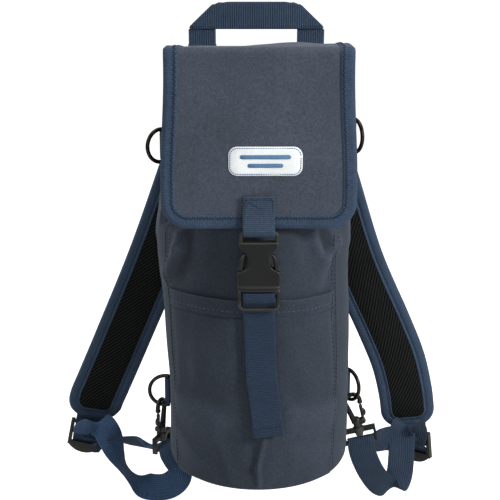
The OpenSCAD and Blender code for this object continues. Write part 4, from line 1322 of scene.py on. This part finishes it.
class Pad:
    """A shoulder pad along a run: across is its width, down its length, height off its core.

    Face 1 is the mesh, towards the bag's front; face -1 is the cover.
    """

    def __init__(self, side, run, sign):
        self.side, self.sign, self.strap = side, sign, side + "_strap"
        self.curve = resample(spline(run, 12), 2.0)
        along = tangents(self.curve)
        for _ in range(6):
            along[1:-1] = unit(along[:-2] + 2 * along[1:-1] + along[2:])
        self.along = along
        self.widths = square_to(np.array([X_AXIS] * len(along)), along)
        self.normals = np.cross(along, self.widths)
        self.arc = arc_lengths(self.curve)
        self.length = self.arc[-1] + PAD_OVER

    def at(self, across, down, height):
        """Point and face-1 normal."""
        held = np.clip(down, 0, self.arc[-1])
        place = interp_rows(held, self.arc, self.curve)
        along, width, normal = (unit(interp_rows(held, self.arc, rows))
                                for rows in (self.along, self.widths, self.normals))
        return place + along * (down - held) + width * across + normal * height, normal

    def edge_distance(self, across, down):
        distance = PAD_HALF - abs(across)
        into = down - (self.length - PAD_R)
        if into > 0:
            if abs(across) > PAD_HALF - PAD_R:
                distance = PAD_R - math.hypot(abs(across) - (PAD_HALF - PAD_R), into)
            else:
                distance = min(distance, self.length - down)
        return max(0.0, distance)

    def face(self, across, down, face):
        """Signed height of a face: a crown with a sewn channel near the edge, and ripples."""
        edge = self.edge_distance(across, down)
        crown = (1.0 * (1 - math.exp(-edge / 2.2))
                 + 2.1 * (1 - math.exp(-max(0, edge - 7.0) / 6.0))
                 - 0.55 * bell(edge - 7.4, 1.0))
        shift = self.sign + face
        wave = (0.55 * noise_at(across / 16, down / 30, 0, 20 + shift)
                + 0.22 * noise_at(across / 7, down / 9, 0, 30 + shift))
        return face * (2.5 + crown + wave * min(1.0, edge / 8))

    def cloth(self, kind, face, material, slot, replaces):
        bend = self.length - PAD_R - 4
        downs = np.unique(np.concatenate([np.arange(0, bend, 2.6),
                                          np.linspace(bend, self.length - 0.15, 26)]))
        shares = (np.sin(np.linspace(-math.pi / 2, math.pi / 2, 45)) * 0.35
                  + np.linspace(-1, 1, 45) * 0.65)

        def station(down, share):
            into = down - (self.length - PAD_R)
            across = share * rounded_half(PAD_HALF, PAD_R, into)
            skins = [self.at(across, down, self.face(across, down, face))[0],
                     self.at(across, down, face * 0.12)[0]]
            near, far = skins[::face]
            return (*near, *far, across, down)

        sheet(f"{self.side}_pad_{kind}_cloth", sheet_grid(downs, shares, station), material,
              slot=slot, body=self.strap, replaces=replaces)

    def edge_path(self):
        """The two long edges and the lower end, and their inward side."""
        straight_end = self.length - PAD_R
        left = [(-PAD_HALF, down) for down in np.arange(0, straight_end, 2.0)]
        left += [(-PAD_HALF + PAD_R - PAD_R * math.sin(math.radians(90 - t)),
                  straight_end + PAD_R * math.sin(math.radians(t)))
                 for t in np.linspace(0, 90, 20)]
        flat = PAD_HALF - PAD_R - 1.5
        bottom = [(across, self.length) for across in np.linspace(-flat, flat, 10)]
        edge = resample(np.array(left + bottom + [(-a, down) for a, down in left[::-1]]), 1.8)
        along = tangents(edge)
        return edge, np.stack([along[:, 1], -along[:, 0]], 1)

    def tape(self, edge, inward):
        """A U of tape round the pad's edge, from the cover to the mesh."""
        depths = (PAD_TAPE_W, PAD_TAPE_W - 0.5, 8.2, 7.3, 6.6, 5.9, 4.2, 2.2, 0.8)
        lip = ((-0.75, -2.1), (-1.25, -0.7), (-1.35, 0.7), (-0.75, 2.1))  # inwards, height
        core = ((8.6, 1), (2.0, 1), (2.0, -1), (8.6, -1))                 # inwards, face
        columns = (depths + tuple(d - k for k, (d, _) in enumerate(lip))
                   + tuple(-d - 5 for d in depths[::-1]) + tuple(d for d, _ in core))
        rings, uvs = [], []
        for place, inside, arc in zip(edge, inward, arc_lengths(edge)):
            pucker = 0.2 * math.sin(arc / 3.1) + 0.25 * noise_at(arc / 8, 0, 0, 40 + self.sign)

            def laid(depth, face):
                spot = place + inside * depth
                thick = ((0.75 if depth < PAD_TAPE_W else 0.1)
                         - 0.45 * bell(depth - PAD_STITCH, 0.7) + pucker * 0.35 * (depth < 6))
                return self.at(*spot, self.face(*spot, face) + face * thick)[0]

            ring = [laid(d, -1) for d in depths]
            ring += [self.at(*(place + inside * d), height)[0] for d, height in lip]
            ring += [laid(d, 1) for d in depths[::-1]]
            for d, face in core:
                spot = place + inside * d
                ring.append(self.at(*spot, self.face(*spot, face) * 0.8)[0])
            rings.append(ring)
            uvs += [(u, arc) for u in columns]
        make(f"{self.side}_pad_tape", *loft(rings), uvs, TAPE, slot="blue_tape",
             body=self.strap, replaces=(f"{self.side}_pad_binding",))

    def stitches(self, edge, inward):
        threads = Pieces()
        for face in (-1, 1):
            line = []
            for spot in (edge + inward * PAD_STITCH)[1:-1]:
                point, normal = self.at(*spot, self.face(*spot, face) + face * 0.3)
                line.append((point, normal * face))
            threads.row(*zip(*line), length=2.5, gap=0.9, radius=0.34, lift=0.08)
        threads.make(f"stitches_{self.side}_pad", DARK_THREAD, self.strap)

    def build(self):
        self.cloth("mesh", 1, MESH, "black_mesh",
                   (self.side + "_pad_mesh", self.side + "_pad_foam"))
        self.cloth("cover", -1, COVER_CANVAS, "navy_canvas", (self.side + "_pad_cover",))
        path = self.edge_path()
        self.tape(*path)
        self.stitches(*path)

    def root(self):
        """Short webbing from the yoke into the pad's upper end."""
        sign, start, along = self.sign, self.curve[0], self.along[0]
        across = self.widths[0]
        path = [(sign * 31.0, 75.0, 345.0), (sign * 33.0, 75.4, 340.0),
                start + [0, -1.2, 3.0], start + along * 6, start + along * 14]
        made, _ = webbing(f"{self.side}_strap_root", path,
                          [X_AXIS, (1, 0, sign * 0.1), across, across, across],
                          TAB_WEB, width=36, ribs=15, step=1.5)
        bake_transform(made)


pads = (Pad("left", LEFT_RUN, -1), Pad("right", RIGHT_RUN, 1))
for pad in pads:
    pad.build()
for pad in pads:
    pad.root()


# ------------------------------------------------------------------ yoke and back pad
def build_yoke():
    """The band across the top of the back."""
    def station(z, x):
        return (x, 72.3, z,
                x, 76.2 - 0.9 * (abs(z - 343) / 7) ** 3 + 0.2 * math.sin(x / 1.1), z, z, x)

    sheet("shoulder_yoke_tape",
          sheet_grid((336.5, 340, 344, 348, 349.5), np.linspace(-47, 47, 60), station),
          TAB_WEB, slot="blue_webbing", body="bag", replaces=("shoulder_yoke",))
    threads = Pieces()
    for z in (339.2, 346.8):
        threads.row([(x, 76.0, z) for x in np.linspace(-45, 45, 80)], (0, 1, 0),
                    length=2.2, gap=0.8, radius=0.36, lift=0.05)
    threads.make("stitches_yoke", THREAD, "bag")


BACK_HALF, BACK_LOW, BACK_HIGH, BACK_R = 46, 12, 270, 12.0
BACK_CHANNELS = (98, 184)                        # z of the channels across the back pad
# section of the back pad's tape: distance outwards, y
BACK_TAPE_SECTION = ((1.2, 72.2), (1.3, 73.6), (0.4, 74.9), (-2.0, 75.5), (-5.5, 76.1),
                     (-6.2, 75.9), (-6.0, 75.0), (-2.0, 74.4), (0.0, 73.2), (0.2, 72.2))


def build_back_pad():
    """Crowned mesh with sewn channels, and its tape border."""
    def station(z, x):
        from_end = min(z - BACK_LOW, BACK_HIGH - z)
        half = rounded_half(BACK_HALF, BACK_R, BACK_R - from_end)
        x = x / BACK_HALF * half                 # pulls the grid in at the rounded corners
        edge = min(half - abs(x), from_end)
        height = 1.2 + 2.6 * (1 - math.exp(-edge / 6.0))
        height -= sum(1.9 * bell(z - channel, 3.0) for channel in BACK_CHANNELS)
        height += 0.25 * noise_at(x / 14, z / 14, 0, 60) * min(1, edge / 8)
        return x, 72.0, z, x, 72.15 + min(height, 4.6), z, x, z

    sheet("back_pad_mesh_cloth",
          sheet_grid(np.linspace(BACK_LOW, BACK_HIGH, 100),
                     np.linspace(-BACK_HALF, BACK_HALF, 47), station),
          MESH, slot="black_mesh", body="bag", replaces=("back_mesh_pad",))
    border = rounded_rect(0, (BACK_LOW + BACK_HIGH) / 2, 2 * BACK_HALF, BACK_HIGH - BACK_LOW,
                          12, 14)
    border = resample(np.vstack([border, border[:1]]), 2.0)[:-1]
    verts, uvs = [], []
    for i, place in enumerate(border):
        along = border[(i + 1) % len(border)] - border[i - 1]
        outward = unit(np.array([along[1], -along[0]]))
        for j, (out, y) in enumerate(BACK_TAPE_SECTION):
            x, z = place + outward * out
            verts.append((x, y + 0.08 * math.sin(i * 0.9), z))
            uvs.append((j * 1.5, i * 2.0))
    faces = grid_faces(len(border), len(BACK_TAPE_SECTION), closed=True, ring=True)
    make("back_pad_tape", verts, faces, uvs, TAPE, slot="blue_tape", body="bag")


build_yoke()
build_back_pad()

# ------------------------------------------------------------------ adjuster webbing
# centre lines from the slider down, round the hook's bar and back, with width directions
LEFT_LOOP = [
    (-170.5, 83.5, -17), (-169, 80.5, -10), (-164, 75.5, -3), (-156.5, 71.8, 0.5),
    (-150, 69, -3), (-145, 67.6, -12), (-139, 62, -27), (-131.5, 57, -40),
    (-120, 52, -50.5), (-105, 47, -55.5), (-88, 41.5, -52.5), (-76.5, 39.5, -43),
    (-77, 41, -32), (-83, 42.5, -24), (-87.4, 42.5, -17), (-88.6, 42.8, -11.3),
    (-89.4, 43.1, -9.1), (-91.5, 44, -8.2), (-93.6, 44.9, -9.1), (-95.9, 46.1, -10.4),
    (-101, 50.5, -13.5), (-114, 61, -15), (-131, 68, -17), (-148, 77.6, -22),
    (-159, 85, -24.5), (-167, 91.5, -25.5)]
LEFT_ACROSS = [
    (1, 0, -0.2), (1, 0, -0.1), (1, 0, 0), (1, 0, 0), (1, 0.1, 0.05), (0.95, 0.3, -0.05),
    (0.62, 0.75, -0.15), (0.22, 0.93, -0.26), (0.06, 0.93, 0.02), (0, 0.5, 0.85),
    (-0.1, 0.25, 0.96), (-0.5, 0.3, 0.78), (-0.8, -0.45, 0.4), (-0.55, -0.82, 0.1),
    *[(-0.375, -0.927, 0)] * 5, (-0.35, -0.88, 0.2), (-0.25, -0.76, 0.55),
    (-0.08, -0.66, 0.72), (0, -0.74, 0.62), (0.3, -0.8, 0.3), (0.7, -0.6, 0.1),
    (1, 0, -0.2)]
RIGHT_LOOP = [
    (156, 83.3, -24), (156.6, 80, -14.5), (154, 73.6, -5), (148.5, 69.4, -0.6),
    (143.5, 67.4, -3.0), (141.6, 65, -14), (141, 59.5, -30), (138.5, 53, -47),
    (131.5, 47.0, -56.0), (120.5, 41, -50.5), (110, 36.6, -36), (102.6, 33.8, -20),
    (99.2, 33.5, -9), (98.5, 33.9, -0.9), (97.9, 36.7, 2), (98.5, 39.5, -0.9),
    (103, 43, -5.5), (118, 55, -10), (130, 65, -13), (144, 77, -22), (154, 86.5, -29),
    (162, 93, -33)]
RIGHT_ACROSS = [
    (0.77, -0.64, 0), (0.84, -0.5, 0.15), (0.92, -0.25, 0.26), (0.95, 0, 0.28),
    (0.98, 0, 0.15), (1, 0, 0.02), (1, 0, 0.06), (0.96, 0.05, 0.24), (0.9, 0.1, 0.42),
    (0.9, 0.1, 0.42), (0.95, 0, 0.3), *[(0.974, 0, 0.225)] * 5, (0.8, 0, 0.5),
    (0.2, 0, 0.95), (0, -0.1, 1), (0.3, -0.3, 0.9), (0.6, -0.5, 0.4), (0.77, -0.64, 0)]


def adjuster(side, loop, across, cuts, loop_web, return_web):
    """One adjuster in three parts, cut at the two stations in cuts."""
    samples = 14
    arc = arc_lengths(spline(loop, samples))
    low, middle = (arc[i * samples] / arc[-1] for i in cuts)
    upper, lower, back = (
        webbing(f"{side}_adjuster_{kind}", loop, across, material, ribs=11, rib_depth=0.16,
                step=1.3, samples=samples, part=part, replaces=(side + "_adjuster_web",))[0]
        for kind, material, part in (("upper", loop_web, (0, low)),
                                     ("loop", loop_web, (low, middle)),
                                     ("return", return_web, (middle, 1))))
    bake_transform(upper)
    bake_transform(back)
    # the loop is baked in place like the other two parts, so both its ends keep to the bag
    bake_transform(lower)


adjuster("left", LEFT_LOOP, LEFT_ACROSS, (9, 21), LOOP_WEB, SHADED_RETURN_WEB)
adjuster("right", RIGHT_LOOP, RIGHT_ACROSS, (8, 17), SHADED_RIGHT_LOOP_WEB, SHADED_RIGHT_LOOP_WEB)


def turned(origin, *turns):
    """A placing matrix from an origin and (degrees, axis) turns."""
    place = Matrix.Translation(Vector(origin))
    for degrees, axis in turns:
        place = place @ Matrix.Rotation(math.radians(degrees), 4, axis)
    return place


SLIDERS = {"left": turned((-168.5, 89, -7), (12, "Y")),
           "right": turned((158, 89, -16.5), (-6, "Y"), (-40, "Z"))}
# webbing in a slider's own (y, z): round its top bar, and through it
SLIDER_TAB = ((-1.6, 11.5), (-1.2, 7.0), (-1.9, 3.2), (-2.55, 0.0), (-1.8, -1.8), (0, -2.55),
              (1.8, -1.8), (2.55, 0), (1.9, 3.2), (1.2, 7.0), (1.6, 11.5))
SLIDER_RUN = ((2.6, -4.4), (1.1, -6.2), (-1.5, -7.9), (-2.6, -11.0), (-1.6, -14.8),
              (1.1, -18.8), (2.0, -22.6), (2.3, -26.5))


def slider_webbing(name, side, path, body, replaces=()):
    place = SLIDERS[side]
    webbing(name, [tuple(place @ Vector((0, y, z))) for y, z in path],
            tuple(place.to_3x3() @ Vector(X_AXIS)), body=body, replaces=replaces)


for slider_side in SLIDERS:
    slider_webbing(slider_side + "_slider_tab_webbing", slider_side, SLIDER_TAB,
                   slider_side + "_strap", (slider_side + "_slider_tab",))


# ------------------------------------------------------------------ moulded pieces
def powered(value, power):
    return math.copysign(abs(value) ** power, value)


def slab(rows, front, back, squareness=5.0, count=40, crown=0.0, edge=0.9):
    """Rows of (z, left x, right x) joined from y front to back; crown bulges the front."""
    rows = [rows[0], *rows, rows[-1]]
    middle = (back + front) / 2
    sections = []
    for k, (z, left, right) in enumerate(rows):
        half, deep, bulge = (right - left) / 2, (back - front) / 2, crown
        if k in (0, len(rows) - 1):              # the ends are drawn in
            z += -edge * 0.35 if k == 0 else edge * 0.35
            half, deep, bulge = max(0.2, half - edge), max(0.2, deep - edge * 0.7), 0
        ring = []
        for a in (2 * math.pi * q / count for q in range(count)):
            x = half * powered(math.cos(a), 2 / squareness)
            y = deep * powered(math.sin(a), 2 / squareness)
            if math.sin(a) < 0:
                y -= bulge * (1 - (x / max(half, 0.1)) ** 2)
            ring.append(((right + left) / 2 + x, middle + y, z))
        sections.append(ring)
    return loft(sections)


def tube(points, wide_radius, other_radius, wide):
    """A closed bar of oval section along points; wide is the section's first axis."""
    points = np.asarray(points, float)
    sections = []
    for k, (point, along) in enumerate(zip(points, tangents(points))):
        first = unit(np.asarray(wide, float) - np.dot(wide, along) * along)
        second = np.cross(along, first)
        size = 0.6 if k in (0, len(points) - 1) else 1.0
        sections.append([point + first * wide_radius * size * powered(math.cos(a), 0.6)
                         + second * other_radius * size * powered(math.sin(a), 0.6)
                         for a in np.linspace(0, 2 * math.pi, 17)[:-1]])
    return loft(sections)


def moulded(name, pieces, body, replaces=()):
    whole = Pieces()
    for verts, faces in pieces:
        whole.add(verts, faces)
    whole.make(name, PLASTIC, body, "black_plastic", replaces)


def dense(rows, step=0.7):
    return [tuple(row) for row in resample(spline(rows, 6), step)]


def mirrored(rows):
    """Slab rows from (z, half width)."""
    return [(z, -half, half) for z, half in rows]


def post(*ends):
    """Slab rows between ends given as (z, middle x, half width)."""
    return dense([(z, x - half, x + half) for z, x, half in ends], 2.0)


def frame_bar(left_half, *radii):
    """A bent bar from its left half, which ends at x = 0; its section's first axis is y."""
    whole = left_half + [(-x, y, z) for x, y, z in left_half[-2::-1]]
    return tube(resample(spline(whole, 8), 0.8), *radii, (0, 1, 0))


# ------------------------------------------------------------------ buckle
BUCKLE_Y = -87.2
MEET_Z = 187.6                                   # where receiver and insert meet
# receiver outline: z, half width
RECEIVER_ROWS = (
    (MEET_Z + 0.25, 16.6), (190, 17.0), (194, 17.05), (197.2, 16.9), (199.2, 16.1),
    (200.8, 13.9), (202.4, 11.2), (204.2, 9.5), (207, 8.9), (211, 8.9), (214, 9.4),
    (216, 10.9), (217.8, 13.3), (219.8, 15.0), (222, 15.5), (223.6, 15.2))
# receiver bar, left half: x, z
RECEIVER_BAR = ((-14.3, 221.5), (-14.3, 226.5), (-14.1, 229.4), (-12.8, 230.6), (-9, 230.6),
                (0, 230.6))
# insert frame, left half: x, distance in front of the buckle's middle, z
INSERT_FRAME = ((-15.5, 0.2, 185.5), (-15.5, 0.2, 178), (-15.3, 0.3, 172.4),
                (-14.6, 0.6, 169.6), (-12.4, 1.0, 168.3), (-8, 1.0, 168.1), (0, 1.0, 168.1))
# arm: z, inner x, outer x
ARM_ROWS = (
    (MEET_Z + 1.4, 11.4, 14.8), (192, 11.7, 14.85), (196, 12.0, 14.85),
    (199.6, 12.05, 14.9), (201.0, 12.1, 16.4), (203, 12.05, 16.7), (205, 11.95, 16.55),
    (207, 11.7, 16.0), (209, 11.2, 15.3), (211, 10.6, 14.2), (212.6, 10.1, 12.9),
    (213.8, 9.95, 11.4))


def buckle_slab(rows, front, back, squareness=5.0, **shape):
    """A slab between two distances from the buckle's middle."""
    return slab(rows, BUCKLE_Y + front, BUCKLE_Y + back, squareness, **shape)


def build_receiver():
    rows = mirrored(dense(RECEIVER_ROWS))
    pieces = [buckle_slab(rows, -4.6, -2.95, 4.0, crown=0.55),
              buckle_slab(rows, 2.95, 4.4, 4.0)]
    pieces += [buckle_slab(post((MEET_Z + 0.4, sign * 16.1, 0.75), (199.4, sign * 16.0, 0.75)),
                           -3.6, 3.6, 4.0) for sign in (-1, 1)]
    pieces.append(buckle_slab(mirrored(dense([(217.6, 12.4), (219.8, 14.6), (223.4, 14.8)])),
                              -4.0, 4.0))
    pieces.append(frame_bar([(x, BUCKLE_Y, z) for x, z in RECEIVER_BAR], 1.9, 1.55))
    moulded("buckle_receiver_shell", pieces, "flap_front", ("buckle_receiver",))


def build_insert():
    collar = mirrored(dense([(183.9, 16.2), (185, 17.0), (MEET_Z - 0.1, 17.05)], 0.6))
    pieces = [buckle_slab(collar, -4.6, 4.4, crown=0.5, edge=0.5),
              frame_bar([(x, BUCKLE_Y - ahead, z) for x, ahead, z in INSERT_FRAME], 1.9, 1.45)]
    pieces += [buckle_slab(post((171, sign * 15.5, 1.5), (184.5, sign * 15.5, 1.6)),
                           -3.4, 3.4, 4.0) for sign in (-1, 1)]
    bar = resample([(-14.6, BUCKLE_Y + 0.6, 178.6), (14.6, BUCKLE_Y + 0.6, 178.6)], 2.0)
    pieces.append(tube(bar, 1.8, 1.8, (0, 1, 0)))
    tongue = mirrored(dense([(MEET_Z - 1, 3.6), (211, 3.6), (213.8, 2.2)], 1.5))
    pieces.append(buckle_slab(tongue, -2.1, 2.1))
    pieces += [buckle_slab(post((MEET_Z - 1, sign * 6.8, 0.7), (194.4, sign * 6.8, 0.7)),
                           -1.6, 1.6) for sign in (-1, 1)]
    moulded("buckle_insert_shell", pieces, "buckle_insert", ("buckle_insert",))


def build_arms():
    for sign, side in ((-1, "left"), (1, "right")):
        rows = [(z, *sorted((sign * inner, sign * outer))) for z, inner, outer in dense(ARM_ROWS)]
        arm = buckle_slab(rows, -2.4, 2.4, 3.2, count=28, crown=0.2, edge=0.5)
        moulded(f"buckle_arm_{side}_shell", [arm], f"buckle_arm_{side}",
                (f"buckle_arm_{side}",))


build_receiver()
build_insert()
build_arms()

# ------------------------------------------------------------------ snap hooks
# placed by the centres of their eyes; their own z runs up to the eye
HOOKS = {"left": turned((-91.524, 44.0, 29.316), (248, "Z")),
         "right": turned((89.627, 36.678, 37.512), (-13, "Y"), (8, "Z"))}
HOOK_PIVOT = -22.0                               # z of the cheeks' inner end
GATE_X, GATE_LOW = 6.4, -20.8
# gate centre line: x, z
GATE_PATH = ((GATE_X, GATE_LOW), (6.42, -17), (6.46, -12), (6.52, -8.5), (6.6, -6.6),
             (6.62, -4.75))
# gate radius: z, radius
GATE_RADII = ((GATE_LOW, 1.45), (-17, 1.45), (-12, 1.5), (-8.5, 1.65), (-6.6, 1.7),
              (-5.4, 1.55), (-4.75, 1.0))
# the raised rib on the gate: z, height
GATE_RIB = ((-16.0, 2.2), (-15.0, 3.2), (-13.2, 3.7), (-11.6, 3.7), (-10.2, 3.0), (-9.6, 2.2))


def placed_pieces(pieces, place):
    return [([tuple(place @ Vector(tuple(float(c) for c in v))) for v in verts], faces)
            for verts, faces in pieces]


def build_hook(side, place):
    """The pivot cheeks and the fuller gate."""
    cheeks = [tube(resample([(-0.5, y, HOOK_PIVOT + 0.1), (3.4, y, HOOK_PIVOT + 0.8),
                             (7.4, y, HOOK_PIVOT + 1.4)], 0.7), 2.3, 0.62, (0, 0, 1))
              for y in (-3.1, 3.1)]
    moulded(f"{side}_hook_cheeks", placed_pieces(cheeks, place), side + "_hook")
    path = spline([(x, 0, z) for x, z in GATE_PATH], 5)
    radii = np.interp(path[:, 2], *zip(*GATE_RADII))
    gate = loft([[point + np.array((math.cos(a), math.sin(a), 0)) * radius
                  for a in np.linspace(0, 2 * math.pi, 17)[:-1]]
                 for point, radius in zip(path, radii)])
    barrel = tube([(GATE_X, y, GATE_LOW) for y in (-2.3, -1.9, 0, 1.9, 2.3)], 2.05, 2.05,
                  (0, 0, 1))
    rib = slab([(z, 6.6, 6.6 + height) for z, height in GATE_RIB], -1.9, 1.9, 3.0,
               count=24, edge=0.4)
    moulded(f"{side}_hook_gate_shell", placed_pieces([gate, barrel, rib], place),
            side + "_hook_gate", (side + "_hook_gate",))


for hook_side, hook_place in HOOKS.items():
    build_hook(hook_side, hook_place)
for slider_side in SLIDERS:
    slider_webbing(slider_side + "_slider_webbing", slider_side, SLIDER_RUN,
                   slider_side + "_slider")

# ------------------------------------------------------------------ CAD hardware that stays
HARDWARE = (
    (PLASTIC, ("left_hook_base", "right_hook_base", "left_hook", "right_hook")),
    (SLIDER_PLASTIC, ("left_slider", "right_slider")),
    (RING_METAL, ("upper_left_ring", "upper_right_ring", "lower_left_ring",
                  "lower_right_ring")))
for hardware_material, node_names in HARDWARE:
    for node_name in node_names:
        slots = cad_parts[node_name].data.materials
        slots.clear()
        slots.append(hardware_material)

# ------------------------------------------------------------------ floor, light, camera
FLOOR_Z = -0.074


def build_floor():
    """A pale floor, brighter to the camera than to the light it bounces."""
    mesh = bpy.data.meshes.new("floor")
    mesh.from_pydata([(-30, -6, FLOOR_Z), (30, -6, FLOOR_Z), (30, 60, FLOOR_Z),
                      (-30, 60, FLOOR_Z)], [], [(0, 1, 2, 3)])
    floor = bpy.data.objects.new("floor", mesh)
    scene.collection.objects.link(floor)
    mat = Material("studio_floor")
    base = mat.mix(mat.noise(scale=3.0, detail=2.0, roughness=0.5),
                   (0.60, 0.60, 0.60, 1), (0.63, 0.63, 0.63, 1))
    seen = mat.node("LightPath").outputs["Is Camera Ray"]
    mat.surface({"Base Color": base, "Roughness": 0.95, "Specular IOR Level": 0.05,
                 "Emission Color": (1, 1, 1, 1),
                 "Emission Strength": mat.add(mat.mul(seen, 0.86), 0.02)})
    mesh.materials.append(mat.made)


def build_world():
    """White surroundings, brighter to the camera than as light."""
    world = bpy.data.worlds.new("studio")
    scene.world = world
    world.use_nodes = True
    nodes = Nodes(world.node_tree)
    background = world.node_tree.nodes["Background"]
    background.inputs[0].default_value = (1, 1, 1, 1)
    seen = nodes.node("LightPath").outputs["Is Camera Ray"]
    nodes.feed(background.inputs[1], nodes.add(nodes.mul(seen, 0.84), 0.26))


def area_light(name, location, target, size, power):
    light = bpy.data.lights.new(name, "AREA")
    light.size = size
    light.energy = power
    made = bpy.data.objects.new(name, light)
    scene.collection.objects.link(made)
    made.location = location
    aim = Vector(target) - Vector(location)
    made.rotation_euler = aim.to_track_quat("-Z", "Y").to_euler()


def build_camera():
    lens = bpy.data.cameras.new("camera")
    lens.sensor_width = 36
    lens.lens = 78.408
    camera = bpy.data.objects.new("camera", lens)
    scene.collection.objects.link(camera)
    camera.location = (-0.007, -0.922, 0.433)
    camera.rotation_euler = (math.radians(75.5), 0, 0)
    scene.camera = camera


build_floor()
build_world()
area_light("key", location=(1.25, -0.95, 0.95), target=(0, 0, 0.18), size=0.4, power=27)
area_light("fill", location=(-0.3, -1.8, 0.7), target=(0, 0, 0.15), size=1.0, power=7)
area_light("top", location=(0.1, -0.1, 1.7), target=(0, 0, 0.2), size=0.8, power=13)
area_light("rim", location=(-1.3, 0.5, 0.9), target=(0, 0, 0.2), size=0.5, power=9)
build_camera()
scene.view_settings.view_transform = "Standard"
scene.view_settings.look = "None"
